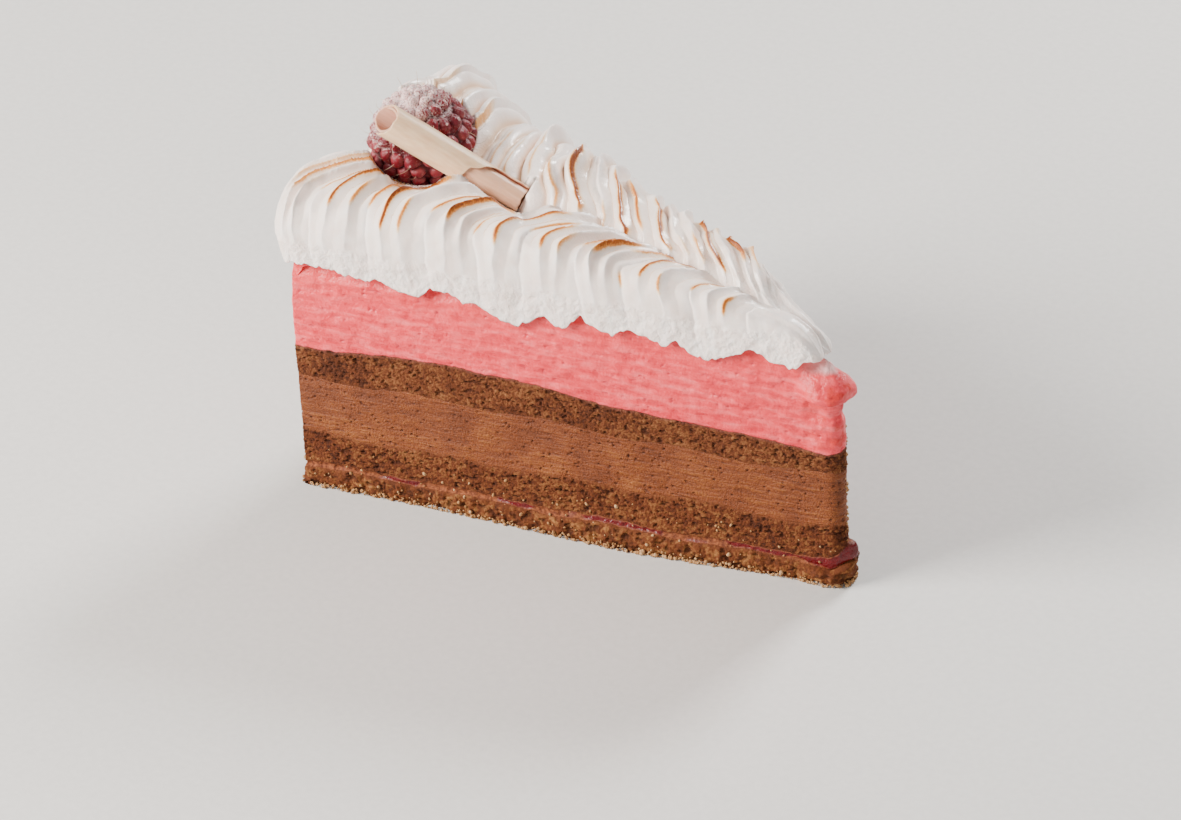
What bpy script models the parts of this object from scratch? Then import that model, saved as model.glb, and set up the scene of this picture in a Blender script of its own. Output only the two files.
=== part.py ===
"""Wedge slice of a layered mousse cake: two chocolate sponges, two mousses, jam and a biscuit base,
under two piped and torched meringue ropes, with one raspberry and one white chocolate curl."""

import math

import bmesh
import bpy
import numpy as np

# Everything below is in millimetres until MM turns it into metres.
MM = 0.001

# Plan of the slice: a wedge measured from the corner where its two cut faces would meet.
CUT_RADIUS = 130.0
HALF_ANGLE = math.radians(15.0)
TIP_RADIUS = 3.0
TIP_X = 70.91
FACE_STEPS = 22
ACROSS_STEPS = 5
GAP = 0.3

# Heights of the joints between layers, at the rim.
BASE_TOP = 4.6
JAM_TOP = 6.0
LOWER_TOP = 13.8
MOUSSE_TOP = 26.8
UPPER_TOP = 34.6
PINK_TOP = 53.2

# Piped meringue ropes, one along each cut face. The crest lists give distances from the rim and heights.
ROPE_ANGLE = math.radians(7.5)
NEAR_START = 136.6
FAR_START = 133.0
ROPE_END = 12.2
NEAR_CREST = (
    (-7.0, 13.6), (0.0, 14.8), (8.0, 15.8), (30.0, 16.0), (60.0, 14.6), (90.0, 11.2), (110.0, 7.0),
    (120.0, 4.0),
)
FAR_CREST = (
    (-3.0, 20.6), (8.0, 19.4), (12.0, 16.5), (17.0, 13.8), (25.0, 12.8), (35.0, 14.2), (42.0, 15.4),
    (48.0, 17.4), (58.0, 15.8), (66.0, 14.8), (82.0, 14.2), (86.0, 15.6), (94.0, 14.0), (100.0, 11.8),
    (105.0, 7.8), (112.0, 4.2), (120.0, 2.6),
)
UNIT_LENGTH = 11.2
ROPE_ROUND = 26
ROPE_ALONG = 54
ROPE_FOOT = 0.7
UNDERCUT = 3.6

# Raspberry.
BERRY_CENTRE = (-117.9, 2.95, 69.5)
BERRY_WIDTH = 10.7
BERRY_HEIGHT = 10.1
BERRY_RINGS = 8

# White chocolate curl.
CURL_HIGH = (-116.6, -9.2, 79.4)
CURL_LOW = (-88.4, -0.7, 64.8)
CURL_RADIUS = 3.75
CURL_TAPER = 0.35
CURL_SHEET = 0.5
CURL_TURN = 0.7
CURL_SLANT = 2.3


def smooth(value, low, high):
    """Rises from 0 to 1 between low and high with level ends."""
    t = np.clip((value - low) / (high - low), 0.0, 1.0)
    return t * t * (3.0 - 2.0 * t)


def joint_height(level, r, v):
    """Height of a joint at distance r from the wedge corner and v from -1 (near face) to 1 (far face)."""
    s = CUT_RADIUS - r
    sway = np.cos((s - 30.0) * math.tau / 125.0 + 0.5 * (v + 1.0))
    ripple = np.sin(s * 0.21 + level + 2.0 * v)
    tip = smooth(s, 104.0, 123.0)
    if level == 0:
        return np.zeros_like(s + v)
    if level == 1:
        return BASE_TOP + 0.25 * ripple - 0.8 * tip
    if level == 2:
        return JAM_TOP - GAP + 0.25 * ripple + 0.6 * tip
    if level == 3:
        return LOWER_TOP + 0.5 * ripple - 0.4 * sway
    if level == 4:
        return MOUSSE_TOP + 0.5 * sway + 0.35 * ripple
    if level == 5:
        low = smooth(s, 34.0, 24.0) + smooth(s, 100.0, 112.0)
        return UPPER_TOP + 1.5 * sway + 0.25 * ripple - 0.008 * (s - 60.0) - 1.6 * tip - low
    return PINK_TOP + 0.5 * sway - 0.006 * s - 1.8 * smooth(s, 114.0, 123.0)


def plan_grid():
    """Plan points as rows from rim to tip and columns from near to far face, with their r and v."""
    tangent = TIP_RADIUS / math.tan(HALF_ANGLE)
    t = np.linspace(0.0, 1.0, FACE_STEPS + 1)
    r = CUT_RADIUS + (tangent - CUT_RADIUS) * t
    v = np.linspace(-1.0, 1.0, ACROSS_STEPS + 1)
    rr, vv = np.meshgrid(r, v, indexing="ij")
    x = -rr * np.cos(HALF_ANGLE * vv)
    y = rr * np.sin(HALF_ANGLE * vv)
    turn = vv * (math.pi / 2 - HALF_ANGLE)
    arc_x = TIP_RADIUS * np.cos(turn) - TIP_RADIUS / math.sin(HALF_ANGLE)
    arc_y = TIP_RADIUS * np.sin(turn)
    blend = smooth(rr, tangent + 12.0, tangent)
    x = x + (arc_x - x) * blend
    y = y + (arc_y - y) * blend
    return x, y, rr, vv


def border():
    """Grid indices round the plan: near face to the tip, tip arc, far face to the rim, rim arc."""
    near = [(i, 0) for i in range(FACE_STEPS + 1)]
    tip = [(FACE_STEPS, j) for j in range(1, ACROSS_STEPS)]
    far = [(i, ACROSS_STEPS) for i in range(FACE_STEPS, -1, -1)]
    rim = [(0, j) for j in range(ACROSS_STEPS - 1, 0, -1)]
    return near + tip + far + rim


def outward(i, j):
    """Unit normal that leaves the plan at a border point."""
    v = 2.0 * j / ACROSS_STEPS - 1.0
    side = -1.0 if v < 0 else 1.0
    face = np.array([math.sin(HALF_ANGLE), side * math.cos(HALF_ANGLE)])
    rim = np.array([-math.cos(HALF_ANGLE * v), math.sin(HALF_ANGLE * v)])
    turn = v * (math.pi / 2 - HALF_ANGLE)
    tip = np.array([math.cos(turn), math.sin(turn)])
    if i == 0 and j in (0, ACROSS_STEPS):
        both = face + rim
        return both / (1.0 + face @ rim)
    if i == 0:
        return rim
    return tip if i == FACE_STEPS else face


def relief(kind, r, v, z):
    """How far a cut side stands out at distance r, place v and height z."""
    s = CUT_RADIUS - r
    on_rim = smooth(s, 0.5, 0.0)
    at_tip = smooth(s, 112.0, 118.0)
    rough = {"biscuit": 0.55, "sponge": 0.4, "jam": 0.25, "mousse": 0.16, "pink": 0.22}[kind]
    a = s + 40.0 * v * on_rim
    noise = np.sin(a * 0.83 + z * 0.9 + 3.0 * v) * np.sin(a * 0.31 - z * 1.3 + v)
    noise = noise + 0.6 * np.sin(a * 1.57 - z * 0.6 + 5.0 * v)
    out = rough * 0.6 * noise
    bulge = np.exp(-(((s - 80.0 - 8.0 * v) / 28.0) ** 2)) * smooth(z, 9.0, 0.0)
    out = out + (1.5 - 0.3 * v) * bulge * (1.0 - at_tip)
    lean = 2.4 * np.clip((z - 34.0) / 19.0, 0.0, 1.0) + np.exp(-(((z - 14.0) / 9.0) ** 2))
    out = out - lean * on_rim
    out = out - 0.9 * smooth(z, 38.0, PINK_TOP) * (1.0 - on_rim)
    if kind == "jam":
        out = out - 0.5 + 2.0 * at_tip * np.exp(-(((v - 0.3) / 0.42) ** 2))
    if kind == "biscuit":
        out = out + (0.7 + 1.2 * smooth(z, 1.0, 2.6)) * at_tip
    if kind == "pink":
        shoulder = smooth(z, PINK_TOP - 2.6, PINK_TOP)
        out = out - 1.1 * shoulder - 2.0 * smooth(z, PINK_TOP - 5.5, PINK_TOP) * at_tip
        lip = np.exp(-(((z - 45.5) / 2.4) ** 2))
        out = out + 2.8 * lip * at_tip
    return out


def layer_mesh(kind, low, high, levels):
    """Points and faces of one layer between two joints, its cut sides given relief."""
    x, y, rr, vv = plan_grid()
    z_low = joint_height(low, rr, vv) + (GAP if low else 0.0)
    z_high = joint_height(high, rr, vv)
    ring = border()
    rows = []
    for k in range(levels + 1):
        t = k / levels
        row = []
        for i, j in ring:
            z = z_low[i, j] + (z_high[i, j] - z_low[i, j]) * t
            out = relief(kind, rr[i, j], vv[i, j], z) * outward(i, j)
            row.append((x[i, j] + out[0], y[i, j] + out[1], z))
        rows.append(row)
    points = [p for row in rows for p in row]
    count = len(ring)
    faces = []
    for k in range(levels):
        for n in range(count):
            m = (n + 1) % count
            faces.append((k * count + n, k * count + m, (k + 1) * count + m, (k + 1) * count + n))
    place = {key: n for n, key in enumerate(ring)}
    for z_grid, start, flip in ((z_low, 0, True), (z_high, levels * count, False)):
        index = {}
        for i in range(FACE_STEPS + 1):
            for j in range(ACROSS_STEPS + 1):
                if (i, j) in place:
                    index[i, j] = start + place[i, j]
                else:
                    index[i, j] = len(points)
                    points.append((x[i, j], y[i, j], z_grid[i, j]))
        for i in range(FACE_STEPS):
            for j in range(ACROSS_STEPS):
                quad = (index[i, j], index[i + 1, j], index[i + 1, j + 1], index[i, j + 1])
                faces.append(quad[::-1] if flip else quad)
    return points, faces


def end_scale(d, length, power):
    """Rounds an end over this length: 0 at the very end, 1 past it."""
    t = np.clip(d / length, 0.0, 1.0)
    return (1.0 - (1.0 - t) ** power) ** (1.0 / power)


def rope_point(side, r, turn):
    """Smooth rope surface. Turn runs from 0 at the outer foot, over the crest, to 1 at the inner foot."""
    s = CUT_RADIUS - r
    crest = np.array(NEAR_CREST if side < 0 else FAR_CREST)
    height = np.interp(s, crest[:, 0], crest[:, 1])
    rim_gap = (NEAR_START if side < 0 else FAR_START) - r
    tip_gap = r - ROPE_END
    tall = end_scale(rim_gap, 7.5, 2.9) if side < 0 else end_scale(rim_gap, 9.0, 2.4)
    wide = end_scale(rim_gap, 11.0, 2.3) if side < 0 else end_scale(rim_gap, 6.0, 2.2)
    tall = tall * end_scale(tip_gap, 9.0, 2.0)
    wide = wide * end_scale(tip_gap, 5.0, 2.0)
    half = np.minimum(r, CUT_RADIUS) * math.sin(HALF_ANGLE - ROPE_ANGLE)
    angle = math.pi * turn
    cosine = np.cos(angle)
    near_side = (half + 0.7) * np.abs(cosine) ** 0.62
    far_side = (half + 0.2) * np.abs(cosine) ** 0.95
    outer = near_side if side < 0 else far_side
    inner = -(half + 2.6) * np.abs(cosine) ** 0.9
    q = np.where(cosine > 0, outer, inner) * wide
    drop = smooth(cosine, 0.2, 1.0) * smooth(rim_gap, 2.0, 9.0)
    scallop = 0.35 + 0.65 * np.abs(np.sin(math.pi * (s + 0.5) / UNIT_LENGTH)) ** 0.7
    foot = ROPE_FOOT - 1.15 * drop * scallop * smooth(tip_gap, 2.0, 10.0)
    z = foot + (height - foot) * np.abs(np.sin(angle)) ** (0.74 if side < 0 else 0.82) * tall
    return q, z


def rope_place(side, r, q, z):
    """Puts rope coordinates into the plan: r along the rope, q out towards the face, z above the pink layer.
    The rim end is drawn in towards its foot."""
    v = side * 0.5 * np.ones_like(r)
    base = joint_height(6, r, v)
    start = NEAR_START if side < 0 else FAR_START
    r = r - UNDERCUT * smooth(z, 7.0, 0.0) * smooth(start - r, 9.0, 0.0)
    x = -r * math.cos(ROPE_ANGLE) + q * math.sin(ROPE_ANGLE)
    y = side * (r * math.sin(ROPE_ANGLE) + q * math.cos(ROPE_ANGLE))
    return np.stack([x, y, base + z], axis=-1)


def rope_wave(side, s, turn):
    """Relief of the piped units: each starts with a raised edge and sinks towards the next."""
    lean = 7.0 if side < 0 else 9.0
    along = s - lean * np.clip((turn - 0.12) / 0.8, 0.0, 1.0) ** 1.5
    u = (along + 0.5) / UNIT_LENGTH
    u = u - np.floor(u)
    bulge = np.sin(math.pi * u**0.8) ** 0.6
    return (1.5 * bulge - 0.9) * np.sin(math.pi * np.clip(turn, 0.0, 1.0)) ** 0.5


def rope_mesh(side):
    """One piped rope as a closed tube with rounded ends and a flat bottom."""
    start = NEAR_START if side < 0 else FAR_START
    span = start - ROPE_END
    t = np.linspace(0.0, 1.0, ROPE_ALONG + 1)[1:-1]
    d = span * (t - 0.035 * np.sin(math.tau * t))
    turn = np.linspace(0.0, 1.0, ROPE_ROUND)
    rr, tt = np.meshgrid(start - d, turn, indexing="ij")
    q, z = rope_point(side, rr, tt)
    step = 0.01
    q2, z2 = rope_point(side, rr, np.clip(tt + step, 0.0, 1.0))
    q1, z1 = rope_point(side, rr, np.clip(tt - step, 0.0, 1.0))
    dq = q2 - q1
    dz = z2 - z1
    size = np.hypot(dq, dz) + 1e-9
    fade = end_scale(start - rr, 10.0, 2.0) * end_scale(rr - ROPE_END, 14.0, 2.0)
    grow = 0.35 + 0.65 * np.clip(rr / 80.0, 0.0, 1.0)
    lift = rope_wave(side, CUT_RADIUS - rr, tt) * fade * grow
    q = q + lift * dz / size
    z = z - lift * dq / size
    body = rope_place(side, rr, q, z)
    rows, columns = tt.shape
    points = [tuple(p) for row in body for p in row]
    bottom = []
    for i in range(rows):
        q_in = float(q[i, 0]) - 1.6 * min(1.0, float(q[i, 0]) / 4.0)
        z_in = max(ROPE_FOOT, float(z[i, 0]))
        place = rope_place(side, np.array(rr[i, 0]), np.array(q_in), np.array(z_in))
        bottom.append(len(points))
        points.append(tuple(place))
    faces = []
    for i in range(rows - 1):
        for j in range(columns - 1):
            a = i * columns + j
            faces.append((a, a + columns, a + columns + 1, a + 1))
        last = i * columns + columns - 1
        faces.append((last, last + columns, bottom[i + 1], bottom[i]))
        faces.append((bottom[i], bottom[i + 1], (i + 1) * columns, i * columns))
    first_loop = [bottom[0]] + list(range(columns))
    end_loop = [bottom[-1]] + list(range((rows - 1) * columns, rows * columns))
    for loop, where, flip in ((first_loop, start, False), (end_loop, ROPE_END, True)):
        pole = rope_place(side, np.array(where), np.array(0.0), np.array(ROPE_FOOT + 0.2))
        points.append(tuple(pole))
        centre = len(points) - 1
        for n in range(len(loop)):
            face = (centre, loop[n], loop[(n + 1) % len(loop)])
            faces.append(face[::-1] if flip else face)
    if side > 0:
        faces = [face[::-1] for face in faces]
    return points, faces


def berry_shape(direction, grow):
    """Maps a unit direction to the raspberry surface: a blunt cone of ellipse section, swollen by grow."""
    x, y, z = direction
    taper = 1.0 - 0.10 * z - 0.10 * max(0.0, z) ** 2
    width = (BERRY_WIDTH + grow) * taper
    return (x * width, y * width, z * (BERRY_HEIGHT + grow))


def berry_seeds():
    """Directions of the drupelets: staggered rings with one at the crown."""
    seeds = [(0.0, 0.0, 1.0)]
    for ring in range(1, BERRY_RINGS + 1):
        polar = math.pi * ring / (BERRY_RINGS + 0.6)
        count = max(4, round(2.0 * (BERRY_RINGS + 0.6) * math.sin(polar) * 1.02))
        for k in range(count):
            around = math.tau * (k + 0.5 * (ring % 2)) / count + 0.13 * ring
            wobble = 0.05 * math.sin(5.1 * k + 2.3 * ring)
            a = polar + wobble
            seeds.append((math.sin(a) * math.cos(around), math.sin(a) * math.sin(around), math.cos(a)))
    seeds.append((0.0, 0.0, -1.0))
    return seeds


def unit(p):
    size = math.sqrt(p[0] ** 2 + p[1] ** 2 + p[2] ** 2)
    return (p[0] / size, p[1] / size, p[2] / size)


def berry_mesh():
    """Raspberry with one raised dome for each drupelet, on the cells between neighbouring seeds."""
    hull = bmesh.new()
    for seed in berry_seeds():
        hull.verts.new(seed)
    bmesh.ops.convex_hull(hull, input=hull.verts[:])
    bmesh.ops.triangulate(hull, faces=hull.faces[:])
    hull.verts.index_update()
    hull.faces.index_update()
    hull.edges.index_update()
    points = []
    corner = {}
    middle = {}

    def add(direction, grow):
        points.append(berry_shape(unit(direction), grow))
        return len(points) - 1

    for face in hull.faces:
        centre = sum((v.co for v in face.verts), start=face.verts[0].co * 0.0) / 3.0
        corner[face.index] = (tuple(centre), add(centre, -1.15))
    for edge in hull.edges:
        mid = (edge.verts[0].co + edge.verts[1].co) / 2.0
        middle[edge.index] = (tuple(mid), add(mid, -0.85))
    faces = []
    for vert in hull.verts:
        loop = vert.link_loops[0]
        start = loop
        ring = []
        while True:
            ring.append(corner[loop.face.index])
            ring.append(middle[loop.link_loop_prev.edge.index])
            loop = loop.link_loop_prev.link_loop_radial_next
            if loop == start:
                break
        seed = np.array(vert.co)
        inner = []
        for direction, index in ring:
            part = 0.42 * seed + 0.58 * np.array(unit(direction))
            inner.append(add(tuple(part), 0.25))
        top = add(tuple(seed), 0.75)
        size = len(ring)
        for n in range(size):
            m = (n + 1) % size
            faces.append((ring[n][1], ring[m][1], inner[m]))
            faces.append((ring[n][1], inner[m], inner[n]))
            faces.append((inner[n], inner[m], top))
    hull.free()
    points = [tuple(p[k] + BERRY_CENTRE[k] for k in range(3)) for p in points]
    return points, faces


def curl_frame():
    """Axis, side and up directions of the curl, and its length."""
    high = np.array(CURL_HIGH)
    axis = np.array(CURL_LOW) - high
    length = float(np.linalg.norm(axis))
    axis = axis / length
    side = np.cross(axis, (0.0, 0.0, 1.0))
    side = side / np.linalg.norm(side)
    return high, axis, side, np.cross(side, axis), length


def curl_point(along, turn, depth):
    """Point of the rolled sheet: along from 0 (high end) to 1, turn from 0 (outer edge) to 1 (inner edge).
    The high end is cut on a slant and the outer edge is torn away past the middle."""
    high, axis, side, up, length = curl_frame()
    outer_edge = -1.1
    inner_edge = outer_edge + 1.6 * math.tau
    start = outer_edge + 1.96 * float(smooth(along, 0.56, 0.63)) + 1.1 * float(smooth(along, 0.63, 0.8))
    angle = start + (inner_edge - start) * turn
    radius = CURL_RADIUS - CURL_TAPER * along - CURL_TURN * (angle - outer_edge) / math.tau - depth
    slant = CURL_SLANT * math.cos(angle - 0.66) * float(smooth(along, 0.35, 0.0))
    centre = high + axis * (along * length + slant)
    return centre + radius * (math.cos(angle) * side + math.sin(angle) * up)


def curl_mesh():
    """Rolled sheet of white chocolate: an outer skin, an inner skin and the edges between them."""
    along_steps = 8
    turn_steps = 24
    points = []
    for depth in (0.0, CURL_SHEET):
        for i in range(along_steps + 1):
            for j in range(turn_steps + 1):
                point = curl_point(i / along_steps, j / turn_steps, depth)
                points.append(tuple(float(c) for c in point))
    width = turn_steps + 1
    sheet = width * (along_steps + 1)
    faces = []
    for i in range(along_steps):
        for j in range(turn_steps):
            a = i * width + j
            faces.append((a, a + 1, a + width + 1, a + width))
            b = a + sheet
            faces.append((b, b + width, b + width + 1, b + 1))
    for i in range(along_steps):
        a = i * width
        faces.append((a, a + width, a + width + sheet, a + sheet))
        b = a + turn_steps
        faces.append((b, b + sheet, b + width + sheet, b + width))
    for j in range(turn_steps):
        a = j
        faces.append((a, a + sheet, a + sheet + 1, a + 1))
        b = along_steps * width + j
        faces.append((b, b + 1, b + 1 + sheet, b + sheet))
    return points, faces


def material(name, colour, roughness):
    made = bpy.data.materials.new(name)
    made.use_nodes = True
    shader = made.node_tree.nodes["Principled BSDF"]
    shader.inputs["Base Color"].default_value = (*colour, 1.0)
    shader.inputs["Roughness"].default_value = roughness
    shader.inputs["Metallic"].default_value = 0.0
    return made


def build(name, mesh_data, colour, roughness, shade):
    """Makes one object in metres from points in millimetres measured from the wedge corner."""
    points, faces = mesh_data
    mesh = bpy.data.meshes.new(name)
    moved = [((p[0] + TIP_X) * MM, p[1] * MM, p[2] * MM) for p in points]
    mesh.from_pydata(moved, [], faces)
    work = bmesh.new()
    work.from_mesh(mesh)
    bmesh.ops.triangulate(work, faces=work.faces[:])
    bmesh.ops.recalc_face_normals(work, faces=work.faces[:])
    work.to_mesh(mesh)
    work.free()
    for polygon in mesh.polygons:
        polygon.use_smooth = shade
    made = bpy.data.objects.new(name, mesh)
    bpy.context.scene.collection.objects.link(made)
    if colour:
        mesh.materials.append(material(name + "_mat", colour, roughness))
    return made


def cut(target, tool, operation):
    """Adds an exact Boolean with a hidden helper."""
    modifier = target.modifiers.new(tool.name, "BOOLEAN")
    modifier.operation = operation
    modifier.solver = "EXACT"
    modifier.object = tool
    tool.hide_render = True
    tool.display_type = "WIRE"


def ball_mesh(centre, width, height, around, rings):
    """Plain ellipsoid used as a cutter."""
    points = [(centre[0], centre[1], centre[2] + height)]
    for i in range(1, rings):
        polar = math.pi * i / rings
        for j in range(around):
            a = math.tau * j / around
            points.append((
                centre[0] + width * math.sin(polar) * math.cos(a),
                centre[1] + width * math.sin(polar) * math.sin(a),
                centre[2] + height * math.cos(polar),
            ))
    points.append((centre[0], centre[1], centre[2] - height))
    last = len(points) - 1
    faces = []
    for j in range(around):
        k = (j + 1) % around
        faces.append((0, 1 + j, 1 + k))
        for i in range(rings - 2):
            a = 1 + i * around
            faces.append((a + j, a + around + j, a + around + k, a + k))
        a = 1 + (rings - 2) * around
        faces.append((a + j, last, a + k))
    return points, faces


def rod_mesh(sides):
    """Plain tapered rod along the curl, used as a cutter."""
    high, axis, side, up, length = curl_frame()
    points = []
    for along, radius in ((-3.0, CURL_RADIUS + 0.35), (length + 1.2, CURL_RADIUS - CURL_TAPER + 0.1)):
        for k in range(sides):
            a = math.tau * k / sides
            p = high + axis * along + radius * (math.cos(a) * side + math.sin(a) * up)
            points.append(tuple(float(c) for c in p))
    faces = [tuple(range(sides)), tuple(range(2 * sides - 1, sides - 1, -1))]
    for k in range(sides):
        m = (k + 1) % sides
        faces.append((k, k + sides, m + sides, m))
    return points, faces


def clear_scene():
    for old in list(bpy.data.objects):
        bpy.data.objects.remove(old, do_unlink=True)


clear_scene()
build("biscuit_base", layer_mesh("biscuit", 0, 1, 2), (0.30, 0.16, 0.075), 0.9, False)
build("jam_layer", layer_mesh("jam", 1, 2, 1), (0.16, 0.006, 0.008), 0.25, True)
build("lower_sponge", layer_mesh("sponge", 2, 3, 2), (0.20, 0.085, 0.035), 0.9, False)
build("chocolate_mousse", layer_mesh("mousse", 3, 4, 2), (0.27, 0.12, 0.06), 0.6, True)
build("upper_sponge", layer_mesh("sponge", 4, 5, 2), (0.16, 0.07, 0.03), 0.9, False)
build("raspberry_mousse", layer_mesh("pink", 5, 6, 4), (0.80, 0.17, 0.18), 0.45, True)
meringue = build("meringue", rope_mesh(-1), (0.86, 0.83, 0.80), 0.4, True)
far_rope = build("far_rope", rope_mesh(1), None, 0.0, True)
berry_room = build(
    "berry_room",
    ball_mesh(BERRY_CENTRE, BERRY_WIDTH + 1.3, BERRY_HEIGHT + 1.2, 28, 16),
    None, 0.0, False,
)
curl_room = build("curl_room", rod_mesh(16), None, 0.0, False)
cut(meringue, far_rope, "UNION")
cut(meringue, berry_room, "DIFFERENCE")
cut(meringue, curl_room, "DIFFERENCE")
build("raspberry", berry_mesh(), (0.22, 0.02, 0.05), 0.4, True)
build("chocolate_curl", curl_mesh(), (0.80, 0.62, 0.45), 0.4, True)
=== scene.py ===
"""Looks of the layered mousse cake slice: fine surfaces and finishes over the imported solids."""

import math

import bpy
import numpy as np
from mathutils import Matrix, Vector


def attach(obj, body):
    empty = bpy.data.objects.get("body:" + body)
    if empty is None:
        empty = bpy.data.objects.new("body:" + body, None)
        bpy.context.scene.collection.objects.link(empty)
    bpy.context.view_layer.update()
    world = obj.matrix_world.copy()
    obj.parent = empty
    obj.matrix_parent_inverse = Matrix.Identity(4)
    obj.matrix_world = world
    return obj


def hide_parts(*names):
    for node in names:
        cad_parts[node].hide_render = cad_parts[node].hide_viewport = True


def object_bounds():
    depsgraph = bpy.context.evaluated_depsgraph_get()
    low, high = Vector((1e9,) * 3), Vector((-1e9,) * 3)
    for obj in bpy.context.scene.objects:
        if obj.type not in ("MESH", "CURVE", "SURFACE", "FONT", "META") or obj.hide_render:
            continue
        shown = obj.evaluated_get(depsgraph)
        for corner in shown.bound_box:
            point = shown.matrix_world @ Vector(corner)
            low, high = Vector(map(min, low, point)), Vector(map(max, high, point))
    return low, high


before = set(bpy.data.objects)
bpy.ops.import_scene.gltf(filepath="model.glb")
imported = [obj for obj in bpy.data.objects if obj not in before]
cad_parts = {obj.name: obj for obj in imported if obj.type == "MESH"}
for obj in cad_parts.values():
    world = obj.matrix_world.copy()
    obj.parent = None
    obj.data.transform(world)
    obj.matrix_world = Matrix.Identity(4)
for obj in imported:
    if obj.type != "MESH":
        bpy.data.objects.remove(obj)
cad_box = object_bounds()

# Everything below is in millimetres, measured from the corner where the two cut faces would meet,
# until MM and TIP_X bring it into the frame.
MM = 0.001
TIP_X = 70.91
BOX_LOW = np.array(cad_box[0]) / MM + 0.02
BOX_HIGH = np.array(cad_box[1]) / MM - 0.02
UP = np.array((0.0, 0.0, 1.0))

# Plan and joints of the slice, as in the solids.
CUT_RADIUS = 130.0
HALF_ANGLE = math.radians(15.0)
TIP_RADIUS = 3.0
TIP_TANGENT = TIP_RADIUS / math.tan(HALF_ANGLE)
CORNER_ROUND = 1.6
BASE_TOP = 4.6
JAM_TOP = 6.0
LOWER_TOP = 13.8
MOUSSE_TOP = 26.8
UPPER_TOP = 34.6
PINK_TOP = 53.2
TOP_JOINT = 6

# Step of the outline, how far from the rim and the tip the middle line of the flat faces ends, and the
# distance to a joint that stands for none.
OUTLINE_STEP = 0.05
SPINE_RIM = 34.0
SPINE_TIP = 6.0
NO_JOINT = 9.0

# Piped ropes, as in the solids. For each rope: where its rim end starts, the length and power with which its
# height and its width are rounded off there, how far its outer foot stands out and the power of that, the
# power of its rise, the swell of its units, the ridges on its flank and what the crest adds, and its gloss.
NEAR = -1
FAR = 1
ROPE = {
    NEAR: {"start": 136.6, "tall": (7.5, 2.9), "wide": (11.0, 2.3), "foot": (0.7, 0.62), "rise": 0.74,
           "swell": 1.7, "flank": 0.5, "crest": 1.3, "gloss": 0.4},
    FAR: {"start": 133.0, "tall": (9.0, 2.4), "wide": (6.0, 2.2), "foot": (0.2, 0.95), "rise": 0.82,
          "swell": 1.4, "flank": 1.5, "crest": 0.85, "gloss": 0.7},
}
ROPE_ANGLE = math.radians(7.5)
ROPE_END = 12.2
ROPE_FOOT = 0.7
UNDERCUT = 3.6

# Heights of the two crests above the mousse, at distances from the rim.
CREST = {
    NEAR: ((-7.0, 13.6), (0.0, 14.8), (8.0, 15.8), (30.0, 16.0), (60.0, 14.6), (90.0, 11.2), (110.0, 7.0),
           (120.0, 4.0)),
    FAR: ((-3.0, 20.6), (8.0, 19.4), (12.0, 16.5), (17.0, 13.8), (25.0, 12.8), (35.0, 14.2), (42.0, 15.4),
          (48.0, 17.4), (58.0, 15.8), (66.0, 14.8), (82.0, 14.2), (86.0, 15.6), (94.0, 14.0), (100.0, 11.8),
          (105.0, 7.8), (112.0, 4.2), (120.0, 2.6)),
}

# Piped ridges read off the photograph: distance from the rim, how brown the flame left it, and the part of
# the way over the rope, from 0 at the outer foot to 1 in the valley, where the brown line runs.
RIDGES = {
    NEAR: (
        (-12.0, 0.0, 0.4, 0.5), (-4.4, 0.0, 0.4, 0.5), (-1.4, 0.25, 0.42, 0.6), (1.2, 0.6, 0.38, 0.63),
        (3.8, 0.1, 0.4, 0.45), (7.0, 0.8, 0.42, 0.54), (11.0, 1.0, 0.32, 0.53), (15.8, 0.55, 0.34, 0.43),
        (20.0, 0.7, 0.36, 0.6), (24.2, 1.0, 0.25, 0.53), (28.4, 0.6, 0.26, 0.39), (33.6, 0.8, 0.4, 0.61),
        (38.0, 0.8, 0.37, 0.57), (41.4, 0.0, 0.4, 0.5), (44.4, 0.8, 0.35, 0.63), (49.0, 0.9, 0.32, 0.6),
        (54.0, 0.5, 0.47, 0.58), (59.0, 1.0, 0.36, 0.49), (62.8, 0.35, 0.36, 0.46), (66.6, 0.8, 0.46, 0.7),
        (70.6, 0.7, 0.43, 0.59), (73.6, 0.7, 0.54, 0.72), (77.0, 0.4, 0.26, 0.34), (81.2, 0.9, 0.38, 0.7),
        (85.5, 0.55, 0.3, 0.4), (91.8, 0.9, 0.42, 0.71), (95.6, 0.0, 0.4, 0.5), (99.6, 0.65, 0.3, 0.47),
        (104.4, 0.0, 0.4, 0.5), (110.0, 0.0, 0.4, 0.5), (126.0, 0.0, 0.4, 0.5)),
    FAR: (
        (-12.0, 0.0, 0.4, 0.5), (-5.5, 0.0, 0.4, 0.5), (0.6, 0.1, 0.45, 0.6), (6.8, 0.2, 0.42, 0.6),
        (12.8, 0.35, 0.44, 0.6), (18.2, 0.3, 0.44, 0.6), (24.6, 0.25, 0.45, 0.7), (30.0, 0.3, 0.5, 0.72),
        (35.8, 0.3, 0.46, 0.64), (41.6, 0.35, 0.6, 0.76), (47.0, 1.0, 0.47, 0.7), (52.8, 0.3, 0.64, 0.78),
        (58.6, 1.0, 0.47, 0.73), (63.2, 0.7, 0.45, 0.64), (70.2, 0.9, 0.46, 0.68), (74.6, 0.15, 0.62, 0.7),
        (79.0, 0.35, 0.58, 0.7), (84.0, 1.0, 0.39, 0.68), (88.6, 0.2, 0.36, 0.48), (93.0, 0.85, 0.32, 0.52),
        (97.8, 0.35, 0.34, 0.5), (102.0, 0.0, 0.4, 0.5), (108.0, 0.0, 0.4, 0.5), (126.0, 0.0, 0.4, 0.5)),
}

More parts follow.
